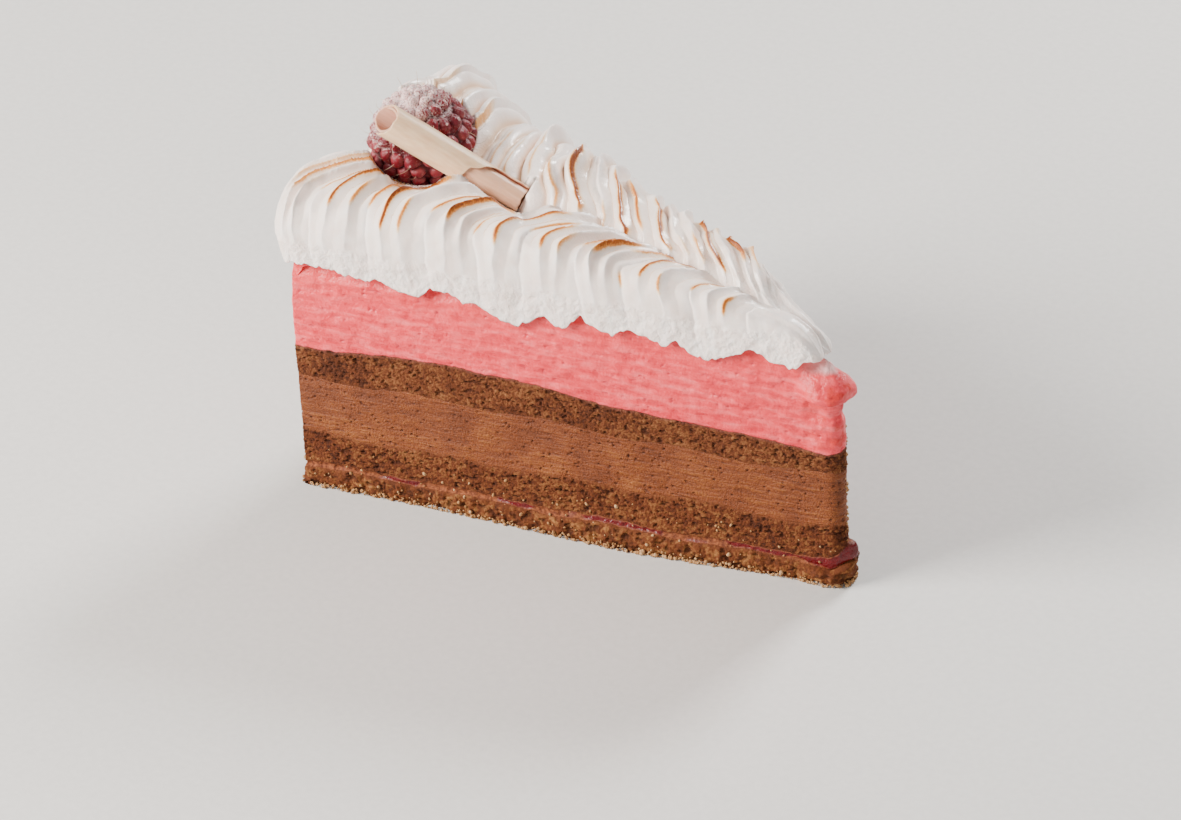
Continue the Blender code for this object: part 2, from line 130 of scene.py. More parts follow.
# Where each piped unit of a rope begins, measured from the rim.
UNITS = {
    NEAR: (-8.0, 7.0, 20.0, 33.6, 44.4, 54.0, 66.6, 77.0, 91.6, 104.0, 126.0),
    FAR: (-8.0, 12.5, 23.0, 33.0, 42.6, 52.5, 62.4, 73.0, 83.4, 92.4, 101.5, 126.0),
}

# Lower edge of the meringue on the near face: distance from the rim, and height above the mousse.
LIP = (
    (-8.0, 1.0), (9.3, 1.2), (15.2, 0.3), (19.7, -0.6), (22.0, 0.6), (25.9, -1.6), (31.1, -1.5),
    (33.3, 0.3), (36.9, 0.8), (41.9, -1.2), (44.0, -0.1), (48.7, -2.9), (52.9, -4.1), (55.0, -2.0),
    (58.4, -0.5), (63.4, -2.2), (66.9, 1.9), (68.6, 0.4), (73.9, -1.4), (77.0, 0.7), (85.6, -1.2),
    (87.4, 1.0), (92.2, -2.9), (99.0, -1.5), (104.3, 1.6), (108.7, -1.1), (113.2, -2.2), (119.0, 1.6),
)

# Raspberry and white chocolate curl, and the level direction in which their beds open to the near face.
BERRY_CENTRE = np.array((-117.9, 2.95, 69.5))
BERRY_WIDTH = 10.7
BERRY_HEIGHT = 10.1
BERRY_RINGS = 9
CURL_HIGH = np.array((-116.6, -9.2, 79.4))
CURL_LOW = np.array((-88.4, -0.7, 64.8))
CURL_RADIUS = 3.75
CURL_TAPER = 0.35
CURL_SHEET = 0.5
CURL_TURN = 0.7
CURL_SLANT = 2.3
OPEN_X = 0.64
OPEN_Y = -0.77


def smooth(value, low, high):
    """Rises from 0 to 1 between low and high with level ends."""
    t = np.clip((value - low) / (high - low), 0.0, 1.0)
    return t * t * (3.0 - 2.0 * t)


def dice(x, y, z, seed):
    """Random value from 0 to 1 for each whole-number lattice point: its numbers mixed and cut to 32 bits."""
    low_bits = np.int64(0xFFFFFFFF)
    mixed = (x * 73856093 + y * 19349663 + z * 83492791 + seed * 50331653) & low_bits
    mixed = ((mixed ^ (mixed >> 15)) * 739982445) & low_bits
    mixed = ((mixed ^ (mixed >> 12)) * 695872825) & low_bits
    return (mixed ^ (mixed >> 15)) / 4294967295.0


def noise(p, size, seed=0):
    """Value noise from -1 to 1: random lattice values, size apart (a number or three), blended smoothly."""
    grid = p / np.asarray(size)
    base = np.floor(grid).astype(np.int64)
    part = grid - base
    part = part * part * (3.0 - 2.0 * part)
    total = 0.0
    for corner in range(8):
        step = np.array((corner & 1, corner >> 1 & 1, corner >> 2))
        weight = np.prod(np.where(step == 1, part, 1.0 - part), axis=-1)
        total = total + weight * dice(*np.moveaxis(base + step, -1, 0), seed)
    return 2.0 * total - 1.0


def layered(p, size, seed=0):
    """Value noise summed over three octaves, each half as large and half as strong."""
    return sum(noise(p, np.asarray(size) / 2.0**k, seed + 7 * k) / 2.0**k for k in range(3)) / 1.6


def cells(p, size, seed=0):
    """Cell noise: distances to the nearest and second nearest scattered point, in cell sizes, and the
    random value of the nearest one. Each lattice cube holds one point at a random place."""
    grid = p / np.asarray(size)
    base = np.floor(grid).astype(np.int64)
    near = np.full(grid.shape[:-1], 9.0)
    second = near.copy()
    tone = np.zeros_like(near)
    for k in range(27):
        cube = np.moveaxis(base + np.array((k % 3 - 1, k // 3 % 3 - 1, k // 9 - 1)), -1, 0)
        away = np.sqrt(sum((cube[m] + dice(*cube, seed + m) - grid[..., m]) ** 2 for m in range(3)))
        closer = away < near
        second = np.where(closer, near, np.minimum(second, away))
        tone = np.where(closer, dice(*cube, seed + 3), tone)
        near = np.where(closer, away, near)
    return near, second, tone


def grid_quads(rows, columns, around=False):
    """Quads of a grid of points stored row by row; around joins the last column to the first."""
    i, j = np.meshgrid(np.arange(rows - 1), np.arange(columns - (not around)), indexing="ij")
    k = (j + 1) % columns
    quads = np.stack([i * columns + j, i * columns + k, (i + 1) * columns + k, (i + 1) * columns + j], -1)
    return quads.reshape(-1, 4)


def fan(pole, ring):
    """Triangles from a pole to the points of a closed ring."""
    return np.stack([np.full(len(ring), pole), ring, np.roll(ring, -1)], -1)


def make_piece(name, points, faces, material, node, values=()):
    """Builds one closed mesh from points in millimetres and lists of quads and triangles, turns it
    outward by the sign of its volume, keeps it inside the box of the solids and hands it to the frame."""
    points = np.clip(points + np.array((TIP_X, 0.0, 0.0)), BOX_LOW, BOX_HIGH)
    volume = 0.0
    for group in faces:
        for k in range(2, group.shape[1]):
            a, b, c = (points[group[:, m]] for m in (0, k - 1, k))
            volume += np.einsum("ij,ij->", a, np.cross(b, c))
    if volume < 0.0:
        faces = [group[:, ::-1] for group in faces]
    corners = np.concatenate([group.ravel() for group in faces]).astype(np.int32)
    sizes = np.concatenate([np.full(len(group), group.shape[1]) for group in faces])
    mesh = bpy.data.meshes.new(name)
    mesh.vertices.add(len(points))
    mesh.vertices.foreach_set("co", (points * MM).astype(np.float32).ravel())
    mesh.loops.add(len(corners))
    mesh.loops.foreach_set("vertex_index", corners)
    mesh.polygons.add(len(sizes))
    mesh.polygons.foreach_set("loop_start", (np.cumsum(sizes) - sizes).astype(np.int32))
    mesh.update(calc_edges=True)
    mesh.shade_smooth()
    for key, value in dict(values).items():
        layer = mesh.attributes.new(key, "FLOAT", "POINT")
        layer.data.foreach_set("value", np.asarray(value, np.float32).ravel())
    mesh.materials.append(material)
    piece = bpy.data.objects.new(name, mesh)
    bpy.context.scene.collection.objects.link(piece)
    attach(piece, "root")
    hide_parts(node)


def joint_height(level, r, v):
    """Height of a joint between layers, by the same waves as the solids: a long sway, a ripple of 30 mm and
    a dip at the tip."""
    s = CUT_RADIUS - r
    sway = np.cos((s - 30.0) * math.tau / 125.0 + 0.5 * (v + 1.0))
    ripple = np.sin(s * 0.21 + level + 2.0 * v)
    tip = smooth(s, 104.0, 123.0)
    blob = smooth(s, 112.0, 118.0) * smooth(v, -0.9, 0.2)
    low = smooth(s, 34.0, 24.0) + smooth(s, 100.0, 112.0)
    return (
        np.zeros_like(s + v),
        BASE_TOP + 0.25 * ripple - 0.8 * tip + 1.6 * blob,
        JAM_TOP + 0.25 * ripple + 0.6 * tip + 2.6 * blob,
        LOWER_TOP + 0.5 * ripple - 0.4 * sway,
        MOUSSE_TOP + 0.5 * sway + 0.35 * ripple,
        UPPER_TOP + 1.5 * sway + 0.25 * ripple - 0.008 * (s - 60.0) - 1.6 * tip - low,
        PINK_TOP + 0.5 * sway - 0.006 * s - 1.8 * smooth(s, 114.0, 123.0),
    )[level]


def outline(count):
    """Plan of the sides at equal steps: rim arc to the near corner, near face to the tip, tip arc, and the
    mirror of that back. A running mean rounds the rim corners. Gives x, y, outward normal, r and v."""
    rim = np.linspace(0.0, -1.0, int(CUT_RADIUS * HALF_ANGLE / OUTLINE_STEP), endpoint=False)
    steps = int((CUT_RADIUS - TIP_TANGENT) / OUTLINE_STEP)
    face = np.linspace(CUT_RADIUS, TIP_TANGENT, steps, endpoint=False)
    arc = np.linspace(-1.0, 0.0, 80)
    turn = arc * (math.pi / 2 - HALF_ANGLE)
    x = np.concatenate([
        -CUT_RADIUS * np.cos(HALF_ANGLE * rim), -face * math.cos(HALF_ANGLE),
        TIP_RADIUS * np.cos(turn) - TIP_RADIUS / math.sin(HALF_ANGLE)])
    y = np.concatenate([
        CUT_RADIUS * np.sin(HALF_ANGLE * rim), -face * math.sin(HALF_ANGLE), TIP_RADIUS * np.sin(turn)])
    r = np.concatenate([np.full(len(rim), CUT_RADIUS), face, np.full(len(arc), TIP_TANGENT)])
    v = np.concatenate([rim, np.full(len(face), -1.0), arc])
    x, r = (np.concatenate([a, a[-2:0:-1]]) for a in (x, r))
    y, v = (np.concatenate([a, -a[-2:0:-1]]) for a in (y, v))
    span = int(CORNER_ROUND / OUTLINE_STEP)
    kernel = np.ones(span + 1) / (span + 1)
    x, y = (np.convolve(np.concatenate([a[-span // 2:], a, a[:span // 2]]), kernel, "valid") for a in (x, y))
    tx, ty = (np.roll(a, -1) - np.roll(a, 1) for a in (x, y))
    size = np.hypot(tx, ty)
    travel = np.concatenate([[0.0], np.cumsum(np.hypot(np.diff(x), np.diff(y)))])
    whole = travel[-1] + math.hypot(x[0] - x[-1], y[0] - y[-1])
    at = np.arange(count) * whole / count
    return [np.interp(at, travel, a, period=whole) for a in (x, y, ty / size, -tx / size, r, v)]


def side_shape(s, v, z, p):
    """How far the sides stand out, shared by all layers: a belly low on the cut faces, a lean at the rim and
    in the mousse, soft dents of 9 and 3 mm, and at the tip a squashed lip."""
    on_rim = smooth(s, 0.5, 0.0)
    at_tip = smooth(s, 112.0, 118.0)
    bulge = np.exp(-(((s - 80.0 - 8.0 * v) / 28.0) ** 2)) * smooth(z, 9.0, 0.0)
    out = (1.5 - 0.3 * v) * bulge * (1.0 - at_tip)
    lean = 2.4 * np.clip((z - 34.0) / 19.0, 0.0, 1.0) + np.exp(-(((z - 14.0) / 9.0) ** 2))
    out = out - lean * on_rim - 0.9 * smooth(z, 38.0, PINK_TOP) * (1.0 - on_rim)
    lip = smooth(z, 42.8, 44.6) * smooth(z, 50.5, 45.2)
    notch = np.exp(-(((z - 40.2) / 1.3) ** 2))
    out = out + (2.9 * lip - 0.7 * notch) * at_tip
    return out + 0.22 * noise(p, 9.0, 3) + 0.12 * noise(p, 3.0, 4)


def crumb(p, size, pore, seed):
    """Open crumb: rounded grains of one cell size, smaller grains on them, and pores where noise is high.
    Gives the height, how deep in a pore a point is, and the tone of its grain."""
    near, second, tone = cells(p, size, seed)
    fine, _, fine_tone = cells(p, size * 0.45, seed + 11)
    grains = 0.30 * (second - near) + 0.14 * (0.5 - fine)
    hollow = smooth(layered(p, (pore * 1.5, pore * 1.5, pore), seed + 5), 0.12, 0.5)
    return grains - 0.38 * hollow, 0.7 * hollow, 0.6 * tone + 0.4 * fine_tone


def biscuit_detail(s, v, z, p, edge):
    """Pressed biscuit: coarse grains, chips out of its lower edge and a proud foot at the tip."""
    height, hollow, tone = crumb(p, 1.15, 1.0, 21)
    chips = smooth(noise(p, (3.2, 3.2, 2.0), 31), 0.15, 0.7) * smooth(z, 2.4, 0.0)
    ragged = 0.45 * layered(p, (1.6, 1.6, 4.0), 33)
    foot = 0.5 + 0.9 * smooth(z, 0.6, 2.8) + 1.3 * layered(p, (2.0, 2.0, 1.3), 35)
    return 0.2 + foot * smooth(s, 112.0, 118.0) + ragged + height - 1.1 * chips, hollow, tone


def jam_detail(s, v, z, p, edge):
    """Thin jam: sunk between its neighbours, swelling out in drops here and there, most at the tip."""
    drops = smooth(noise(p, (6.0, 6.0, 3.0), 41), -0.25, 0.45) * smooth(s, 16.0, 24.0)
    blob = 2.1 * smooth(s, 112.0, 118.0) * np.exp(-(((v - 0.3) / 0.42) ** 2))
    out = -0.55 + 0.5 * drops + blob + 0.35 * layered(p, 0.9, 42)
    wet = smooth(0.6 * noise(p, (3.0, 3.0, 1.2), 43) + 1.4 * drops + blob, 0.25, 0.7)
    return out, wet, 0.0 * out


def sponge_detail(seed):
    """Sponge: open crumb with flat torn tears along the layer."""
    def detail(s, v, z, p, edge):
        height, hollow, tone = crumb(p, 0.75, 0.62, seed)
        tear = smooth(layered(p, (2.6, 2.6, 0.5), seed + 3), 0.42, 0.66)
        return 0.9 * height - 0.4 * tear, np.maximum(hollow, tear), tone
    return detail


def mousse_detail(s, v, z, p, edge):
    """Chocolate mousse: fine drag lines from the knife, small bubbles, and short tears near the sponges."""
    drag = layered(p, (5.0, 5.0, 0.42), 61)
    near, _, tone = cells(p, (0.95, 0.95, 0.6), 62)
    bubble = smooth(tone, 0.8, 0.9) * smooth(near, 0.42, 0.22)
    tear = smooth(layered(p, (2.6, 2.6, 0.5), 64), 0.5, 0.75) * (0.35 + 0.65 * smooth(edge, 3.0, 0.5))
    hollow = np.maximum(bubble, tear)
    return 0.11 * drag + 0.05 * noise(p, 0.5, 65) - 0.34 * hollow, hollow, 0.5 + 0.5 * drag


def pink_detail(s, v, z, p, edge):
    """Raspberry mousse: long shallow drag lines and tears, few bubbles, and at the tip soft folds and a
    bevel."""
    at_tip = smooth(s, 106.0, 118.0)
    drag = layered(p, (4.5, 4.5, 0.9), 71)
    tear = smooth(layered(p, (2.2, 2.2, 0.5), 72), 0.5, 0.75)
    near, _, tone = cells(p, (1.5, 1.5, 1.0), 73)
    bubble = smooth(tone, 0.88, 0.93) * smooth(near, 0.3, 0.14)
    folds = layered(p, (2.6, 2.6, 3.4), 75)
    shoulder = smooth(z, PINK_TOP - 2.6, PINK_TOP) + 0.12 * noise(p, 1.4, 76)
    bevel = 2.2 * smooth(z, PINK_TOP - 6.2, PINK_TOP) * smooth(s, 110.0, 118.0)
    out = 0.19 * drag * (1.0 - 0.5 * at_tip) - 0.34 * tear - 0.3 * bubble + 0.55 * folds * at_tip
    out = out - 1.1 * shoulder - bevel + 0.08 * layered(p, 1.1, 77)
    return out, np.maximum(tear, bubble), 0.0 * out


def build_layer(node, low, rows, count, cap_rings, detail, material):
    """One layer as a closed mesh: the wall between two joints, pushed out by shape and detail, and two caps
    of rings that shrink from the wall to the middle line. Detail fades at a joint so that layers meet."""
    high = low + 1
    x, y, nx, ny, r, v = outline(count)
    s = CUT_RADIUS - r
    plan = np.stack([x, y, np.zeros_like(x)], -1)
    edges = []
    for level in (low, high):
        ragged = 0.2 * noise(plan, 2.4, level) + 0.13 * noise(plan, 0.8, level + 9)
        edges.append(joint_height(level, r, v) + (0.0 if level in (0, TOP_JOINT) else ragged))
    t = np.linspace(0.0, 1.0, rows + 1)[:, None]
    z = edges[0] + (edges[1] - edges[0]) * t
    p = np.stack([x + 0 * z, y + 0 * z, z], -1)
    foot = z - edges[0] if low else z + NO_JOINT
    head = edges[1] - z if high < TOP_JOINT else NO_JOINT + 0 * z
    edge = np.minimum(foot, head)
    fine, hollow, tone = detail(s, v, z, p, edge)
    fade = smooth(edge, 0.0, 0.45)
    out = side_shape(s, v, z, p) + fine * fade
    wall = (p + out[..., None] * np.stack([nx, ny, 0 * nx], -1)).reshape(-1, 3)
    points = [wall]
    faces = [grid_quads(rows + 1, count, around=True)]
    values = [(hollow * fade).ravel(), tone.ravel(), head.ravel()]
    order = np.arange(count)
    following = np.roll(order, -1)
    spine_x = np.clip(x, SPINE_RIM - CUT_RADIUS, -TIP_TANGENT - SPINE_TIP)
    total = len(wall)
    for level, first, rings in ((low, 0, 1), (high, rows * count, cap_rings)):
        rim = wall[first:first + count]
        ids = first + order
        for k in range(1, rings + 1):
            share = (k / rings) ** 1.6
            ring = rim.copy()
            ring[:, 0] += (spine_x - rim[:, 0]) * share
            ring[:, 1] *= 1.0 - share
            across = np.arctan2(ring[:, 1], -ring[:, 0]) / HALF_ANGLE
            flat = joint_height(level, np.hypot(ring[:, 0], ring[:, 1]), across)
            if level == TOP_JOINT:
                flat = flat + 0.12 * noise(ring, 1.8, 91)
            ring[:, 2] = flat + (rim[:, 2] - joint_height(level, r, v)) * smooth(share, 0.3, 0.0)
            new_ids = total + order
            if k == rings:
                new_ids = total + np.minimum(order, (count - order) % count)
                ring = ring[:count // 2 + 1]
            quads = np.stack([ids, ids[following], new_ids[following], new_ids], -1)
            faces.append(quads if level == high else quads[:, ::-1])
            points.append(ring)
            values = [np.concatenate([a, np.full(len(ring), b)]) for a, b in zip(values, (0.0, 0.5, 0.0))]
            ids = new_ids
            total += len(ring)
    quads = np.concatenate(faces)
    odd = (quads[:, 2] == quads[:, 3]) | (quads[:, 0] == quads[:, 1])
    ends = quads[odd]
    ends = np.where((ends[:, 2] == ends[:, 3])[:, None], ends[:, [0, 1, 2]], ends[:, [1, 2, 3]])
    values = dict(zip(("hollow", "tone", "head"), values))
    make_piece(node + "_cut", np.concatenate(points), [quads[~odd], ends], material, node, values)


def end_scale(d, length, power):
    """Rounds an end over this length: 0 at the very end, 1 past it."""
    t = np.clip(d / length, 0.0, 1.0)
    return (1.0 - (1.0 - t) ** power) ** (1.0 / power)


def eased(s, table, width):
    """Reads a list of distances and values at s, joined by straight lines and then rounded by a running
    mean of this width."""
    table = np.array(table)
    fine = np.arange(table[0, 0] - width, table[-1, 0] + width, 0.25)
    span = int(width / 0.25) // 2
    line = np.interp(fine, table[:, 0], table[:, 1])
    line = np.convolve(np.pad(line, span, mode="edge"), np.ones(2 * span + 1) / (2 * span + 1), "valid")
    return np.interp(s, fine, line)


def rope_section(side, r, turn):
    """Smooth rope: across, a power of the cosine; up, a power of the sine; both rounded off at the two
    ends. The outer foot follows the torn lower edge of the meringue."""
    s = CUT_RADIUS - r
    shape = ROPE[side]
    rim_gap = shape["start"] - r
    tip_gap = r - ROPE_END
    height = eased(s, CREST[side], 4.0)
    tall = end_scale(rim_gap, *shape["tall"]) * end_scale(tip_gap, 9.0, 2.0)
    wide = end_scale(rim_gap, *shape["wide"]) * end_scale(tip_gap, 5.0, 2.0)
    half = np.minimum(r, CUT_RADIUS) * math.sin(HALF_ANGLE - ROPE_ANGLE)
    cosine = np.cos(math.pi * turn)
    out, power = shape["foot"]
    outer = (half + out) * np.abs(cosine) ** power
    q = np.where(cosine > 0, outer, -(half + 2.6) * np.abs(cosine) ** 0.9) * wide
    lip = eased(s, LIP, 1.0) if side == NEAR else 0.4 - 1.6 * np.abs(np.sin(s / 4.3 + 0.6))
    fall = smooth(cosine, 0.35, 1.0) * smooth(rim_gap, 2.0, 9.0) * smooth(tip_gap, 1.0, 6.0)
    foot = ROPE_FOOT + (lip - ROPE_FOOT) * fall
    z = foot + (height - foot) * np.abs(np.sin(math.pi * turn)) ** shape["rise"] * tall
    return q, z, half


def rope_place(side, r, q, z):
    """Puts rope coordinates into the plan: r along the rope, q out to the face, z up from the mousse. The
    rim end is drawn in towards its foot."""
    r = r - UNDERCUT * smooth(z, 7.0, 0.0) * smooth(ROPE[side]["start"] - r, 9.0, 0.0)
    x = -r * math.cos(ROPE_ANGLE) + q * math.sin(ROPE_ANGLE)
    y = side * (r * math.sin(ROPE_ANGLE) + q * math.cos(ROPE_ANGLE))
    return np.stack([x, y, joint_height(TOP_JOINT, r, side * 0.5) + z], axis=-1)


def even_turns(count):
    """Turns at equal steps along the section of the middle of a rope."""
    fine = np.linspace(0.0, 1.0, 4001)
    q, z, _ = rope_section(NEAR, np.full(len(fine), 75.0), fine)
    travel = np.concatenate([[0.0], np.cumsum(np.hypot(np.diff(q), np.diff(z)))])
    return np.interp(np.linspace(0.0, travel[-1], count), travel, fine)


def ridge_field(along, turn, ridges, fat):
    """Piped ridges from one place in the list to the next. Sharp ones with round hollows are one less the
    sine of the way, fat ones with creases a power of its cosine; fat, from 0 to 1, mixes the two.
    Gives the height, the distance to the nearest ridge and how brown it is there."""
    table = np.array(ridges)
    where = np.interp(along, table[:, 0], np.arange(len(table)))
    way = where - np.floor(where)
    sharp = 1.0 - np.sin(math.pi * way**0.8)
    height = sharp + (1.5 * np.abs(np.cos(math.pi * way)) ** 0.75 - sharp) * fat
    height = height * (0.55 + 0.8 * dice(np.floor(where).astype(int), 1, 2, len(ridges)))
    place, strength, first, last = np.moveaxis(table[np.rint(where).astype(int)], -1, 0)
    window = smooth(turn, first - 0.05, first + 0.03) * smooth(turn, last + 0.05, last - 0.03)
    return height, along - place, strength * window


def bed_depth(over):
    """How far a surface sinks that would stand this much above its bed: the positive part, rounded off by
    half a millimetre at its start."""
    return 0.5 * (over + np.sqrt(over**2 + 0.25))


def berry_bed(p):
    """How deep the meringue sinks in front of the berry: a ramp rises from the underside of the berry by 0.5
    mm for each millimetre towards the near face, as wide as the berry and less deep at its sides, by the
    root of one less the square of the share of its half width."""
    x, y = p[..., 0] - BERRY_CENTRE[0], p[..., 1] - BERRY_CENTRE[1]
    ahead = x * OPEN_X + y * OPEN_Y
    aside = y * OPEN_X - x * OPEN_Y
    round_off = np.sqrt(np.clip(1.0 - (aside / (BERRY_WIDTH + 1.0)) ** 2, 0.0, 1.0))
    ramp = BERRY_CENTRE[2] - 9.7 * round_off + 0.5 * np.maximum(ahead - 5.9 * round_off, 0.0)
    within = smooth(np.abs(aside), BERRY_WIDTH + 2.5, BERRY_WIDTH) * smooth(ahead, -6.0, -1.0)
    return bed_depth(p[..., 2] - ramp) * within


def curl_bed(p):
    """The same in front of the lower half of the curl: the ramp starts under the roll, at the place where a
    level line towards the near face leaves its axis, and runs out past its low end."""
    reach = CURL_LOW - CURL_HIGH
    x, y = p[..., 0] - CURL_HIGH[0], p[..., 1] - CURL_HIGH[1]
    turned = OPEN_Y * reach[0] - OPEN_X * reach[1]
    share = (OPEN_Y * x - OPEN_X * y) / turned
    ahead = (reach[0] * y - reach[1] * x) / turned
    ramp = CURL_HIGH[2] + np.minimum(share, 1.0) * reach[2] - 3.7 + 0.5 * np.maximum(ahead - 2.4, 0.0)
    within = smooth(share, 0.2, 0.36) * smooth(share, 1.3, 0.9) * smooth(ahead, -5.0, -0.5)
    return bed_depth(p[..., 2] - ramp) * within


def berry_imprint(p):
    """Presses points that stand over the lower half of the berry, taken as an ellipsoid, down onto it."""
    size = np.array((BERRY_WIDTH, BERRY_WIDTH, BERRY_HEIGHT)) + 0.6
    away = (p - BERRY_CENTRE) / size
    inside = 1.0 - away[..., 0] ** 2 - away[..., 1] ** 2
    floor = -np.sqrt(np.clip(inside, 0.0, None))
    depth = np.where((inside > 0.0) & (away[..., 2] > floor), floor - away[..., 2], 0.0)
    return p + depth[..., None] * size[2] * UP


def curl_frame():
    """Axis, side and up directions of the curl, and its length."""
    axis = CURL_LOW - CURL_HIGH
    length = float(np.linalg.norm(axis))
    axis = axis / length
    side = np.cross(axis, UP)
    side = side / np.linalg.norm(side)
    return axis, side, np.cross(side, axis), length


def curl_imprint(p):
    """Presses points down into the round bed that the curl lies in."""
    axis, side, up, length = curl_frame()
    away = p - CURL_HIGH
    along, across, above = away @ axis, away @ side, away @ up
    bed = CURL_RADIUS - (CURL_TAPER + 0.6) * np.clip(along / length, 0.0, 1.0)
    floor = -np.sqrt(np.clip(bed**2 - across**2, 0.0, None))
    under = (np.abs(across) < bed) & (along > -4.0) & (along < length + 0.3)
    under &= (above > floor) & (above < bed + 3.0)
    return p + np.where(under, floor - above, 0.0)[..., None] * up


def rope_lean(side, s, turn, half, share):
    """How far a ridge is carried to the tip on its way over the rope: on the near rope by the square of the
    way in from the face, on the far one along straight parts, less near the rim."""
    if side == NEAR:
        lean = 0.56 * half * np.clip(0.85 - share, 0.0, 1.8) ** 2 - 2.4
        return lean + 3.2 * np.clip(1.0 - turn / 0.4, 0.0, 1.0)
    lean = np.interp(turn, (0.0, 0.42, 0.5, 0.7, 1.0), (-9.0, -4.0, 0.0, 9.0, 15.0))
    return lean * (0.35 + 0.65 * smooth(s, 18.0, 62.0))


def build_rope(name, side, rows, count, material):
    """One piped rope: the smooth section pushed along its normal by the swell of each unit and by its
    ridges, which stand upright on the outer flank and sweep to the tip across the crest. The last part is
    smooth, with two long ridges. A rough band above the lower edge is where the knife cut through."""
    shape = ROPE[side]
    start = shape["start"]
    t = np.linspace(0.0, 1.0, rows + 2)[1:-1]
    d = (start - ROPE_END) * (t - 0.035 * np.sin(math.tau * t))
    rr, tt = np.meshgrid(start - d, even_turns(count), indexing="ij")
    s = CUT_RADIUS - rr
    q, z, half = rope_section(side, rr, tt)
    before, after = (rope_section(side, rr, np.clip(tt + step, 0.0, 1.0)) for step in (-0.006, 0.006))
    dq, dz = after[0] - before[0], after[1] - before[1]
    size = np.hypot(dq, dz) + 1e-9
    p0 = rope_place(side, rr, q, z)
    along = s - rope_lean(side, s, tt, half, q / (half + 1.0))
    along = along + 0.9 * noise(p0, 6.0, 101) + 0.3 * noise(p0, 2.5, 102)
    unit = np.interp(along, UNITS[side], np.arange(len(UNITS[side])))
    swell = shape["swell"] * np.sin(math.pi * (unit - np.floor(unit)) ** 0.8) ** 0.6 - 1.0
    fat = 0.2 if side == NEAR else 1.0 - 0.75 * smooth(s, 44.0, 58.0)
    height, gap, brown = ridge_field(along, tt, RIDGES[side], fat)
    steep = [np.gradient(along, axis=k) / np.linalg.norm(np.gradient(p0, axis=k), axis=-1) for k in (0, 1)]
    gap = 1.25 * gap / np.maximum(np.hypot(*steep), 0.7)
    crest = shape["flank"] + shape["crest"] * smooth(tt, 0.16, 0.42)
    sunk = 0.0 * s
    if side == NEAR:
        swell = swell * (1.0 + 0.35 * smooth(s, 55.0, 80.0))
        crest = crest * (1.0 - 0.25 * smooth(s, 55.0, 80.0))
        sunk = np.maximum(berry_bed(p0), curl_bed(p0))
    tail = smooth(s, 99.0, 106.0)
    band = smooth(z + 0.8 * noise(p0, 4.0, 106), 6.4, 5.2) * smooth(tt, 0.4, 0.3)
    ends = end_scale(start - rr, 6.0, 2.0) * end_scale(rr - ROPE_END, 14.0, 2.0)
    grow = 0.45 + 0.55 * np.clip(rr / 80.0, 0.0, 1.0)
    across = np.sin(math.pi * np.clip(tt, 0.0, 1.0)) ** 0.5
    uneven = 0.85 + 0.55 * noise(p0, 6.0, 110)
    lift = swell * (1.0 - 0.7 * tail) + uneven * crest * height * (1.0 - 0.9 * band) * (1.0 - tail)
    lift = lift * across * ends * grow * (1.0 - 0.45 * smooth(sunk, 0.3, 2.5))
    rails = np.exp(-((np.abs(tt - 0.5) / 0.02) ** 1.3)) + 0.8 * np.exp(-((np.abs(tt - 0.66) / 0.022) ** 1.3))
    lift += 0.75 * rails * tail * smooth(s, 119.0, 114.0)
    lift += 0.30 * noise(p0, 7.0, 103) + 0.16 * noise(p0, 2.2, 104)
    foam = 0.22 * (cells(p0, 1.05, 105)[0] - 0.5) + 0.3 * layered(p0, 1.7, 115)
    lift += band * foam + (1.0 - band) * 0.03 * noise(p0, 1.0, 107)
    flat = p0 * (1.0, 1.0, 0.0)
    torn = smooth(tt, 0.1, 0.0) * (0.45 * noise(flat, 1.9, 108) + 0.4 * noise(flat, 0.8, 109))
    q = q + lift * dz / size
    z = z - lift * dq / size + torn
    body = rope_place(side, rr, q, z) - sunk[..., None] * UP
    body = curl_imprint(berry_imprint(body))
    under_q = q[:, :1] - 1.6 * np.minimum(1.0, q[:, :1] / 4.0)
    under = rope_place(side, rr[:, :1], under_q, np.maximum(ROPE_FOOT, z[:, :1]))
    loops = np.concatenate([under, body], axis=1)
    poles = rope_place(side, np.array((start, ROPE_END)), np.zeros(2), np.full(2, ROPE_FOOT + 0.2))
    points = np.concatenate([loops.reshape(-1, 3), poles])
    last = (rows - 1) * (count + 1)
    ring = np.arange(count + 1)
    caps = [fan(len(points) - 2, ring), fan(len(points) - 1, last + ring)[:, ::-1]]
    faces = [grid_quads(rows, count + 1, around=True)[:, ::-1], np.concatenate(caps)]
    values = {
        "ridge": gap, "brown": brown * ends, "band": band,
        "gloss": smooth(tt, 0.34, 0.55) * (1.0 - band) * shape["gloss"],
        # low places between lobes, where the material paints shade and toast into the creases
        "crease_toast_and_shade": smooth(height, 1.0, 0.1) * fat * across * (1.0 - tail)}
    for key, value in values.items():
        value = np.concatenate([value[:, :1], value], axis=1)
        values[key] = np.concatenate([value.ravel(), [value[0, 0], value[-1, -1]]])
    make_piece(name, points, faces, material, "meringue", values)


